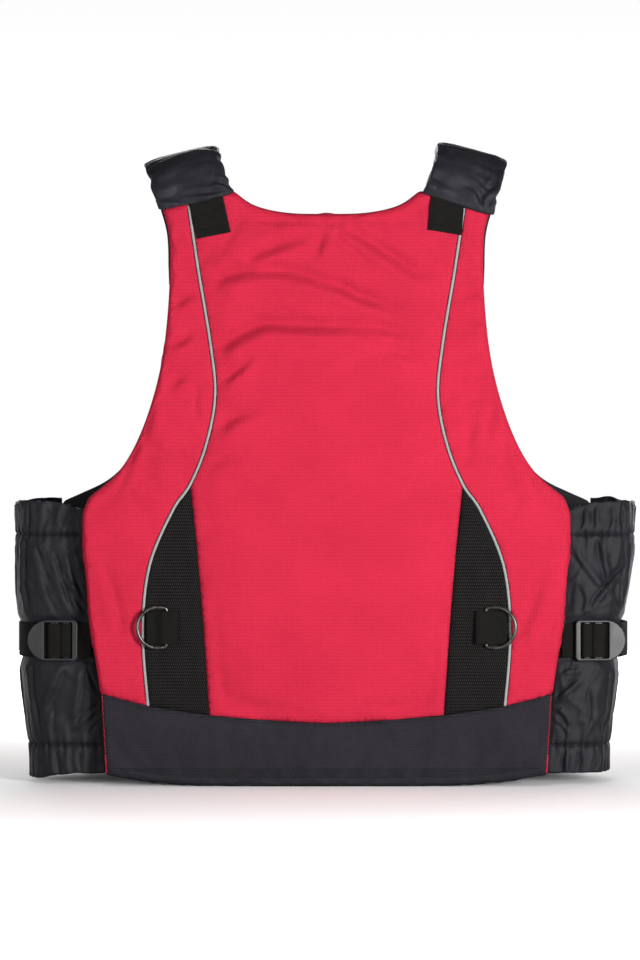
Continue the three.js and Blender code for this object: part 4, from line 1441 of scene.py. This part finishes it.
# ---------------------------------------------------------------- D-rings and their tabs
TAB = [[140.6, -86], [118.4, -86], [116.6, -86.9], [116.1, -88.4], [116.6, -89.9], [118.4, -90.8],
       [126.6, -90.8], [129.4, -89.6], [132.6, -87.9], [135.4, -87.6], [140.6, -87.6]]
RING = (124.5, -88.4, 124.5)
TILT = math.asin(3.1 / 23)


def d_ring_tab(word, side):
    line = curve(TAB, 0.9)
    centres = np.column_stack([side * line[:, 0], line[:, 1], np.full(len(line), RING[2])])
    tab = strap(f"d_ring_tab_{word}_web", centres, (0, 0, 1), WEBBING, 26, 1.2)
    place(tab, "back", "webbing", f"d_ring_tab_{word}")


def d_ring(word, side):
    """Round wire bent to a D: a straight side in the tab's loop and a bow outside it."""
    knots = [[7 + 16 * math.cos(a), 15.9 * math.sin(a)] for a in np.radians(np.arange(-100, 101, 20))]
    knots = [[0.0, 0.0], [0.0, -9.0], [0.1, -13.4], [1.2, -15.0]] + knots
    knots += [[1.2, 15.0], [0.1, 13.4], [0.0, 9.0], [0.0, 0.0]]
    out, height = curve(knots, 0.9)[:-1].T
    x, y = side * (RING[0] + out * math.cos(TILT)), RING[1] - out * math.sin(TILT)
    up = (-side * math.sin(TILT), -math.cos(TILT), 0)
    line = np.column_stack([x, y, RING[2] + height])
    ring = tube(f"d_ring_{word}_wire", line, 1.5, METAL, up=up, closed=True, sides=16)
    place(ring, f"d_ring_{word}", "ring_metal", f"d_ring_{word}")


def d_ring_tack(word, side):
    """A box of stitches over the tab's sewn end."""
    x0, x1, z0, z1 = 131.5, 138.8, 113.5, 135.5
    x, z = even([[x0, z0], [x1, z0], [x1, z1], [x0, z1], [x0, z0]], 1.0).T
    y = np.interp(x, *np.array(TAB[-5:]).T) - 0.75
    tack(f"d_ring_tab_stitch_{word}", np.column_stack([side * x, y, z]), -1, "back", 2.0, 1.6, 0.22)


for word, side in SIDES:
    d_ring_tab(word, side)
    d_ring(word, side)
    d_ring_tack(word, side)

# ---------------------------------------------------------------- ladder-locks
LOCK_LENGTH, LOCK_WIDTH = 39.6, 32.0
WEAVE = [[0.6, -2.6], [4.2, -2.5], [5.4, -1.6], [5.9, 0], [6.9, 1.2], [9.3, 1.6], [11.7, 1.2], [12.9, 0.2],
         [13.5, -1.3], [14.1, 0.2], [15.3, 1.2], [18.6, 1.6], [22.0, 1.2], [23.2, 0], [24.0, -1.6],
         [25.6, -2.5], [37, -2.6]]
LOCK_TURN = math.atan2(4, LOCK_LENGTH)


def lock_parts():
    """A frame with a rounded end, a window and two bars across it."""
    half_width = LOCK_WIDTH / 2
    centre = LOCK_LENGTH - half_width
    outline = [(0, -half_width + 3), (0.5, -half_width + 1.7), (1.7, -half_width + 0.4), (3, -half_width)]
    outline += [
        (centre + half_width * math.cos(a), half_width * math.sin(a))
        for a in np.linspace(-math.pi / 2, math.pi / 2, 40)
    ]
    outline += [(3, half_width), (1.7, half_width - 0.4), (0.5, half_width - 1.7), (0, half_width - 3)]
    a0, a1, b1, cut = 4.2, 26.6, 14.0, 0.6
    window = [(a0 + cut, -b1), (a1 - cut, -b1), (a1, -b1 + cut), (a1, b1 - cut),
              (a1 - cut, b1), (a0 + cut, b1), (a0, b1 - cut), (a0, -b1 + cut)]
    parts = [rounded_plate([outline, window], 3.0, 0.7)]
    for a, b in ((7.2, 11.4), (15.6, 21.6)):
        parts.append(block(a, b, -14.4, 14.4, -1.4, 0.1, 0.45))
    return parts


LOCK = lock_parts()


def side_lock_point(side):
    def point(a, b, c):
        return (
            side * (195.4 + a * math.cos(LOCK_TURN) + c * math.sin(LOCK_TURN)),
            -68.2 + a * math.sin(LOCK_TURN) - c * math.cos(LOCK_TURN),
            STRAP_Z + b,
        )
    return point


SHOULDER_TILT = math.radians(17)
SHOULDER_X, SHOULDER_Z = 101, 457.5


def from_shoulder(side, u, y, w):
    """A point u across and w along the tilted shoulder line."""
    return (
        side * (SHOULDER_X + u * math.cos(SHOULDER_TILT) + w * math.sin(SHOULDER_TILT)),
        y,
        SHOULDER_Z - u * math.sin(SHOULDER_TILT) + w * math.cos(SHOULDER_TILT),
    )


def shoulder_lock_point(side):
    def point(a, b, c):
        return from_shoulder(side, -7 + b, 86.6 + c, -33 - a)
    return point


def lock_web(name, point):
    line = curve(WEAVE, 0.7)
    centres = np.array([point(a, 0, c) for a, c in line])
    across = np.array(point(0, 1, 0)) - np.array(point(0, 0, 0))
    return strap(name, centres, across, WEBBING, 26.6, 1.3)


for word, side in SIDES:
    for kind, point in (("side", side_lock_point(side)), ("shoulder", shoulder_lock_point(side))):
        lock = merged(f"{kind}_lock_{word}_frame", LOCK, PLASTIC, point)
        place(lock, f"{kind}_lock_{word}", "buckle_plastic", f"{kind}_lock_{word}")
        web = lock_web(f"{kind}_lock_web_{word}_loop", point)
        place(web, f"{kind}_lock_{word}", "webbing", f"{kind}_lock_web_{word}")

# ---------------------------------------------------------------- shoulders
ARCH = [[-86.2, -26], [-86.2, -8], [-85.6, 6], [-79, 22], [-60, 31], [-30, 33], [0, 33], [30, 30],
        [56, 22], [73, 6], [82, -12], [83.7, -28.4], [84.1, -33.2]]


def arch_frame(t):
    point = catmull(ARCH, t)
    d = catmull(ARCH, min(t + 1e-3, 1)) - catmull(ARCH, max(t - 1e-3, 0))
    d /= np.linalg.norm(d)
    return point, np.array([-d[1], d[0]])


def arch_at(height, front):
    for i in range(2001):
        t = 1 - i / 2000 if front else i / 2000
        if catmull(ARCH, t)[1] >= height:
            return t
    return 0


# folds of the sleeves on the back: a line of (across, height) from the arch's middle, its depth and width
SLEEVE_PULLS_LEFT = (
    ([[9, 8], [-9, 3.7], [-31, 0.4]], 1.7, 1.7),
    ([[-17, 12], [-25, 5.2], [-31, 1.0]], 1.8, 1.6),
    ([[-27, 22], [-28, 14], [-32, 8]], 1.2, 1.5),
    ([[4, 30], [-14, 29], [-27, 23]], 1.0, 3.2),
    ([[26, 20], [12, 24], [0, 24]], 0.7, 3.6),
    ([[28, 8], [14, 10], [4, 15]], 0.7, 3.0),
)
SLEEVE_PULLS_RIGHT = (
    ([[4, 35], [17, 34], [25, 31], [26, 23], [20, 12], [17, 7]], 2.4, 2.2),
    ([[3, 15], [13, 12], [21, 3], [25, -2]], 1.7, 1.8),
    ([[14, 20], [20, 17], [26, 18]], 1.3, 1.8),
    ([[-27, 12], [-12, 11], [2, 7]], 0.8, 2.8),
    ([[-26, 24], [-14, 27], [2, 25]], 0.7, 3.4),
    ([[28, 12], [25, 6], [27, -1]], 1.4, 1.7),
)


def sleeve_point(side, f, angle):
    """A point on the sleeve's section, a share f of the way from its back end to its front end."""
    raised, tipped, wider, outer, corner = 3.0, 2.0, 1.6, 2.4, 4.0
    if side > 0:
        raised, tipped, wider, outer, corner = 5.5, 1.0, 0.0, 1.4, 0.0
    point, out = arch_frame(SLEEVE_START + (SLEEVE_STOP - SLEEVE_START) * f)
    end = min(f, 1 - f)
    swell = min(1.0, 0.55 + 4.5 * end)
    c, s = math.cos(angle), math.sin(angle)
    half = 29.6 - 1.6 * min(1, 6 * end) + (outer * min(f / 0.15, 1) if c > 0 else wider)
    across = math.copysign(abs(c) ** 0.5, c) * half + 1.5
    rise = math.copysign(abs(s) ** 0.8, s) * 4.4 * swell
    lift = (raised + tipped * max(across / 30, -0.9)) * min(max((point[1] - 5) / 25, 0), 1)
    lift += corner * max(across / 30, 0) * max(1 - f / 0.14, 0)
    return from_shoulder(side, across, point[0] + out[0] * rise, point[1] + out[1] * rise + lift)


def sleeve_tube(word, side):
    """The closed tube, and its vertices that the webbing holds at both ends."""
    rows, columns = 64, 56
    verts, uv = [], []
    length, last = 0.0, None
    for i in range(rows):
        f = i / (rows - 1)
        point, _ = arch_frame(SLEEVE_START + (SLEEVE_STOP - SLEEVE_START) * f)
        if last is not None:
            length += np.linalg.norm(point - last)
        last = point
        for j in range(columns):
            verts.append(sleeve_point(side, f, 2 * math.pi * j / columns))
            uv.append((length, j * 2.6))
    faces = strip_faces(rows, columns, close_columns=True)
    tips = []
    for row in (0, rows - 1):
        tips.append(len(verts))
        verts.append(tuple(np.mean(verts[row * columns:(row + 1) * columns], axis=0)))
        uv.append((row, 0))
    for j in range(columns):
        k = (j + 1) % columns
        faces.append((tips[0], j, k))
        faces.append((tips[1], (rows - 1) * columns + k, (rows - 1) * columns + j))
    # the sleeve takes the copy of the shiny nylon whose colour is painted lighter, as painted light
    piece = mesh_object(f"shoulder_sleeve_{word}_nylon", verts, faces, SHINY_PAINTED_LIGHTER, uv)
    face_outward(piece)
    return piece, list(range(2 * columns)) + list(range((rows - 2) * columns, rows * columns)) + tips


def crumple_sleeve(piece, shift, seed):
    """The blown-up shape with broad folds, which are calmer over the top of the arch."""
    coords = coords_of(piece) + shift
    x, y, z = coords.T
    turned = np.column_stack([x * 0.5 + z * 0.9, y, z * 0.5 - x * 0.3])
    broad = ripple(turned, 19, seed)
    ridge = 0.3 - np.abs(ripple(turned * 1.1, 24, seed + 9))
    fine = ripple(coords, 9, seed + 3)
    crisp = crest(ripple(turned * [1.2, 1, 1.6], 15, seed + 21), 0.3)
    calm = 0.3 + 0.7 * np.clip((np.abs(y) - 50) / 25, 0, 1)
    move = calm * (1.0 * broad + 2.4 * ridge + 1.3 * crisp + 0.3 * fine - 0.6)
    move_to(piece, coords + normals_of(piece) * move[:, None])


def fold_sleeve(piece, side):
    """The drawn folds on the part of the sleeve that lies on the back."""
    coords, normals = coords_of(piece), normals_of(piece)
    out, up = side * coords[:, 0] - SHOULDER_X, coords[:, 2] - SHOULDER_Z
    c, s = math.cos(SHOULDER_TILT), math.sin(SHOULDER_TILT)
    plan = np.column_stack([out * c - up * s, out * s + up * c])
    on_back = np.clip((-70 - coords[:, 1]) / 8, 0, 1) * np.clip((normals @ [0, -1, 0] + 0.2) / 0.4, 0, 1)
    move = np.zeros(len(coords))
    for line, depth, width in (SLEEVE_PULLS_RIGHT if side > 0 else SLEEVE_PULLS_LEFT):
        cross, fade = fold_along(plan, line, 2, 3, 0.3)
        ridge = 0.7 * bell(cross - 2.0 * width, 1.1 * width)
        move += fade * depth * (ridge - bell(cross, 0.8 * width, 1))
    move_to(piece, coords + normals * (move * on_back)[:, None])


def shoulder_sleeve(word, side):
    """A soft nylon tube over the strap: puffed, pinched near its ends, with broad folds."""
    piece, held = sleeve_tube(word, side)
    shift = inflate(piece, held, 5.0, -0.035, 4.2, 18, 0.15)
    crumple_sleeve(piece, shift, 5 if side > 0 else 0)
    with_modifier(piece, "SUBSURF", levels=1, render_levels=1)
    apply_modifiers(piece)
    fold_sleeve(piece, side)
    return piece


# where the free end of the webbing lies on the back: x, z and its tilt in degrees
WEB_ENDS = {"right": (92.0, 432.6, 9.0), "left": (88.0, 430.2, 11.5)}
WEB_U, WEB_Y = -7, -86.2


def shoulder_webbing(word, side):
    """One strap over the shoulder, from its sewn end on the back to the ladder-lock in front."""
    end_x, end_z, end_tilt = WEB_ENDS[word]
    centres, across = [], []
    start = np.array(from_shoulder(side, WEB_U, WEB_Y, 1.0))
    for t in np.linspace(0, 1, 110):
        point, _ = arch_frame(t)
        centre, tilt = from_shoulder(side, WEB_U, point[0], point[1]), 17.0
        if point[0] < -80 and point[1] < 1:
            k = (1 - point[1]) / 27
            centre = (start[0] + k * (side * end_x - start[0]), WEB_Y, start[2] + k * (end_z - start[2]))
            tilt = 17 + (end_tilt - 17) * k
        centres.append(centre)
        across.append((side * math.cos(math.radians(tilt)), 0, -math.sin(math.radians(tilt))))
    return strap(f"shoulder_webbing_{word}_web", centres, across, WEBBING)


def shoulder_tacks(word, side):
    """Two rows of stitches across the sewn end on the back."""
    end_x, end_z, end_tilt = WEB_ENDS[word]
    c, s = math.cos(math.radians(end_tilt)), math.sin(math.radians(end_tilt))
    u = np.linspace(-11.6, 11.6, 30)
    for row, w in enumerate((4.2, 5.8)):
        line = np.column_stack([side * (end_x + u * c + w * s), np.full(30, -87.1), end_z - u * s + w * c])
        tack(f"shoulder_tack_{word}_{row}", line, -1, "back", 1.6, 1.4, 0.26)


SLEEVE_START, SLEEVE_STOP = arch_at(-3.0, False), arch_at(-25, True)
for word, side in SIDES:
    web = shoulder_webbing(word, side)
    sleeve = shoulder_sleeve(word, side)
    for piece, slot, node in (
        (web, "webbing", f"shoulder_webbing_{word}"), (sleeve, "navy_nylon", f"shoulder_sleeve_{word}"),
    ):
        place(piece, None, slot, node)
        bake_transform(piece)
    shoulder_tacks(word, side)

# ---------------------------------------------------------------- front panels
FRONT_HEM = [[9, 0], [60, -0.2], [100, 0.4], [160, 3.6], [204, 9]]
FRONT_LOW = [[204, 9], [207.6, 73]]
FRONT_HIGH = [[207.6, 73], [212, 150], [216, 222]]
FRONT_ARMHOLE = [[200, 229], [173, 244], [145, 280], [130, 330], [126, 380], [129, 417]]
FRONT_NECK = [[73, 434], [60, 428], [38, 398], [20, 378], [9, 368]]
FRONT_KNOTS = [[9, 49.5], [50, 52], [91.5, 56], [150, 64], [207.6, 73]]
front_band = through_knots(FRONT_KNOTS, STEP)


def front_outline(side):
    side_top = even([FRONT_HIGH[-1], FRONT_ARMHOLE[0]], STEP)
    shoulder_edge = even([FRONT_ARMHOLE[-1], FRONT_NECK[0]], STEP)
    zip_edge = even([FRONT_NECK[-1], FRONT_KNOTS[0]], STEP)
    low_edge = even([FRONT_KNOTS[0], FRONT_HEM[0]], STEP)
    line = link_up(
        curve(FRONT_HEM, STEP), even(FRONT_LOW, STEP), even(FRONT_HIGH, STEP), side_top,
        curve(FRONT_ARMHOLE, STEP), shoulder_edge, curve(FRONT_NECK, STEP), zip_edge, low_edge,
    )[:-1]
    return line * [side, 1]


def front_label(points):
    x, z = np.abs(points[:, 0]), points[:, 1]
    return np.where(z < np.interp(x, front_band[:, 0], front_band[:, 1]), BAND_CLOTH, CENTRE)


def front_folds(flat):
    pts = np.column_stack([flat[:, 0], np.zeros(len(flat)), flat[:, 1]])
    return 0.7 * ripple(pts, 60, 51) + 0.3 * ripple(pts, 26, 57)


def front_panel(word, side):
    """One front half: foam, cover, hem band, lining and gusset, with their topstitching."""
    body = f"front_{word}"
    panel = Panel(
        body, front_outline(side), [front_band * [side, 1]], front_label, FRONT_Y, 1, 4.5, 1.2, front_folds
    )
    covers = (
        (CENTRE, f"front_cover_{word}", RED, "red_nylon"),
        (BAND_CLOTH, f"front_hem_band_{word}", NAVY, "navy_band"),
        (LINING_CLOTH, f"front_lining_{word}", LINING, "lining"),
    )
    dress(panel, body, f"front_foam_{word}", covers, f"front_gusset_{word}", front_band)
    band_line = (even(front_band, 2)[2:-2] - [0, 2.6]) * [side, 1]
    stitched(f"front_band_stitch_{word}", panel, band_line, DARK_THREAD, 2.8, 2.0, 0.2, body=body)
    for tag, line in (
        ("zip", even([[13.5, 360], [13.5, 8]], 2)),
        ("neck", sideways(curve(FRONT_NECK, 2), 4)),
        ("armhole", sideways(curve(FRONT_ARMHOLE, 2), 4)),
        ("side", even([[203, 80], [211, 216]], 2)),
    ):
        line = line[2:-2] * [side, 1]
        stitched(f"front_{tag}_stitch_{word}", panel, line, RED_THREAD, 3.0, 2.2, 0.24, body=body)


def box_with_diagonal(x0, x1, z0, z1):
    return even([[x0, z0], [x1, z0], [x1, z1], [x0, z1], [x0, z0], [x1, z1]], 1.0)


def front_webbing(word, side):
    """The strap from the shoulder's ladder-lock and the waist belt, each tacked to the cover."""
    body, web_y, stitch_y = f"front_{word}", 81.1, 81.9
    line = np.array([from_shoulder(side, WEB_U, web_y, w) for w in np.linspace(-60, -130, 40)])
    across = (side * math.cos(SHOULDER_TILT), 0, -math.sin(SHOULDER_TILT))
    place(strap(f"front_strap_{word}_web", line, across, WEBBING), body, "webbing", f"front_strap_{word}")
    x = np.linspace(22 if side > 0 else 32, 205, 60)
    line = np.column_stack([side * x, np.full(60, web_y), np.full(60, STRAP_Z)])
    place(strap(f"waist_belt_{word}_web", line, (0, 0, 1), WEBBING), body, "webbing", f"waist_belt_{word}")
    for tag, at in (("end", 196), ("inner", 152)):
        x, z = box_with_diagonal(at - 5, at + 5, 102.5, 124.5).T
        row = np.column_stack([side * x, np.full(len(x), stitch_y), z])
        tack(f"belt_tack_{tag}_{word}", row, 1, body, 2.2, 1.8, 0.24)
    row = [from_shoulder(side, WEB_U + a, stitch_y, w) for a, w in box_with_diagonal(-11, 11, -108, -127)]
    tack(f"front_strap_tack_{word}", np.array(row), 1, body, 2.2, 1.8, 0.24)


def zip_half(word, side):
    """The tape of one half of the zip, and its row of teeth on a cord."""
    top = 366
    line = np.column_stack([np.full(120, side * 6.45), np.full(120, 78.7), np.linspace(16, top, 120)])
    tape = strap(f"zip_tape_{word}_web", line, (1, 0, 0), TAPE, 4.3, 1.1)
    place(tape, f"front_{word}", "zip_tape", f"zip_tape_{word}")
    foot = 22 if side > 0 else 42
    parts = [side_block(side, 3.2, 4.3, 77.9, 79.5, foot, top, 0.4, 2)]
    for z in np.arange(foot + 1.0, top - 1, 2.5):
        parts.append(side_block(side, 1.2, 3.6, 77.4, 80.0, z - 0.75, z + 0.75, 0.35, 1))
        parts.append(side_block(side, 1.2, 1.9, 77.9, 79.5, z - 1.0, z + 1.0, 0.3, 1))
    teeth = merged(f"zip_teeth_{word}_chain", parts, TEETH, crisp=False)
    place(teeth, f"front_{word}", "zip_teeth", f"zip_teeth_{word}")


for word, side in SIDES:
    front_panel(word, side)
    front_webbing(word, side)
    zip_half(word, side)

# ---------------------------------------------------------------- zip slider and pull
def upright(y0):
    """Lays a flat plate in the plane of the front, at a depth."""
    return lambda a, b, c: (a, y0 + c, b)


def upright_plate(outlines, thickness, bevel, y0):
    return moved_part(rounded_plate(outlines, thickness, bevel), upright(y0))


def zip_slider():
    """Two plates, the wedge between them and the wire loop that holds the pull."""
    outline = [(-4.2, 24), (4.2, 24), (5.4, 28), (5.4, 35.5), (3.6, 38), (0.9, 37), (-0.9, 37), (-3.6, 38),
               (-5.4, 35.5), (-5.4, 28)]
    parts = [upright_plate([outline], 1.6, 0.5, y) for y in (81.4, 76.0)]
    parts.append(block(-0.8, 0.8, 76.2, 81.2, 31, 37.2, 0.3))
    loop = [(0, 81.6, 31.6), (0, 83.4, 32.0), (0, 84.3, 33.4), (0, 84.3, 35.4), (0, 83.4, 36.8),
            (0, 81.6, 37.2)]
    wire = tube("wire", curve(loop, 0.5), 0.75, METAL, up=(1, 0, 0), sides=10)
    faces = [tuple(f.vertices) for f in wire.data.polygons]
    parts.append(([tuple(v.co / MM) for v in wire.data.vertices], faces))
    bpy.data.objects.remove(wire)
    place(merged("zip_slider_body", parts, METAL), "zip_slider", "zip_metal", "zip_slider")


def zip_pull():
    """A flat tab with an eye for the loop and a grip hole."""
    outline = [(-2.0, 35.1), (-2.8, 34.2), (-2.8, 14), (-2.2, 11.6), (-1.0, 10.6),
               (1.0, 10.6), (2.2, 11.6), (2.8, 14), (2.8, 34.2), (2.0, 35.1)]
    eye = [(-1.3, 33.9), (1.3, 33.9), (1.3, 30.4), (-1.3, 30.4)]
    grip_hole = [(-1.2, 18.5), (1.2, 18.5), (1.2, 14), (-1.2, 14)]
    pull = merged("zip_pull_tab", [upright_plate([outline, eye, grip_hole], 1.3, 0.35, 83.6)], METAL)
    place(pull, "zip_pull", "zip_metal", "zip_pull")


zip_slider()
zip_pull()

# ---------------------------------------------------------------- waist buckle
Y, LOW, HIGH, MOUTH = 89.0, STRAP_Z - 17, STRAP_Z + 17, -8.0


def rounded_outline(x0, x1, z0, z1, r):
    points = []
    for cx, cz, start in ((x1 - r, z1 - r, 0), (x0 + r, z1 - r, 1), (x0 + r, z0 + r, 2), (x1 - r, z0 + r, 3)):
        for k in range(6):
            a = (start + k / 5) * math.pi / 2
            points.append((cx + r * math.cos(a), cz + r * math.sin(a)))
    return points


def buckle_female():
    """The buckle's socket: two plates joined by an end wall and two edges, with three grip ribs."""
    outline = rounded_outline(MOUTH - 36, MOUTH, LOW, HIGH, 3.5)
    parts = [upright_plate([outline], 1.6, 0.6, y) for y in (Y - 3.7, Y + 3.7)]
    parts.append(block(MOUTH - 35.6, MOUTH - 24, Y - 4.2, Y + 4.2, LOW + 0.4, HIGH - 0.4, 1.0))
    for z in (LOW + 0.3, HIGH - 2.6):
        parts.append(block(MOUTH - 36, MOUTH - 0.4, Y - 4.2, Y + 4.2, z, z + 2.3, 0.7))
    for z in (STRAP_Z - 7, STRAP_Z, STRAP_Z + 7):
        parts.append(block(MOUTH - 20, MOUTH - 6, Y + 4.2, Y + 4.9, z - 0.8, z + 0.8, 0.3, 2))
    female = merged("waist_buckle_female_body", parts, PLASTIC)
    place(female, "front_left", "buckle_plastic", "waist_buckle_female")


def buckle_male():
    """The buckle's clip: two prongs, a guide between them, a shoulder and the belt's frame."""
    tip = MOUTH + 1
    prong = [(0, 0.8), (3, -0.6), (8, -1.0), (10.5, 0.6), (21, 0.6), (21, 4.4), (4, 4.4), (1, 3.2)]
    lower_prong = [(tip + x, LOW + 3.8 + z) for x, z in prong]
    upper_prong = [(tip + x, HIGH - 3.8 - z) for x, z in prong][::-1]
    parts = [upright_plate([p], 3.8, 0.6, Y) for p in (lower_prong, upper_prong)]
    parts.append(block(tip, tip + 21, Y - 1.5, Y + 1.5, STRAP_Z - 2, STRAP_Z + 2, 0.5))
    parts.append(block(tip + 20.4, tip + 27, Y - 4, Y + 4, LOW, HIGH, 1.2))
    frame_outer = rounded_outline(tip + 26, tip + 40, LOW, HIGH, 2.2)
    frame_inner = rounded_outline(tip + 27.5, tip + 36.2, LOW + 3, HIGH - 3, 1.0)
    parts.append(upright_plate([frame_outer, frame_inner], 6, 0.9, Y))
    male = merged("waist_buckle_male_body", parts, PLASTIC)
    place(male, "waist_clip", "buckle_plastic", "waist_buckle_male")


buckle_female()
buckle_male()
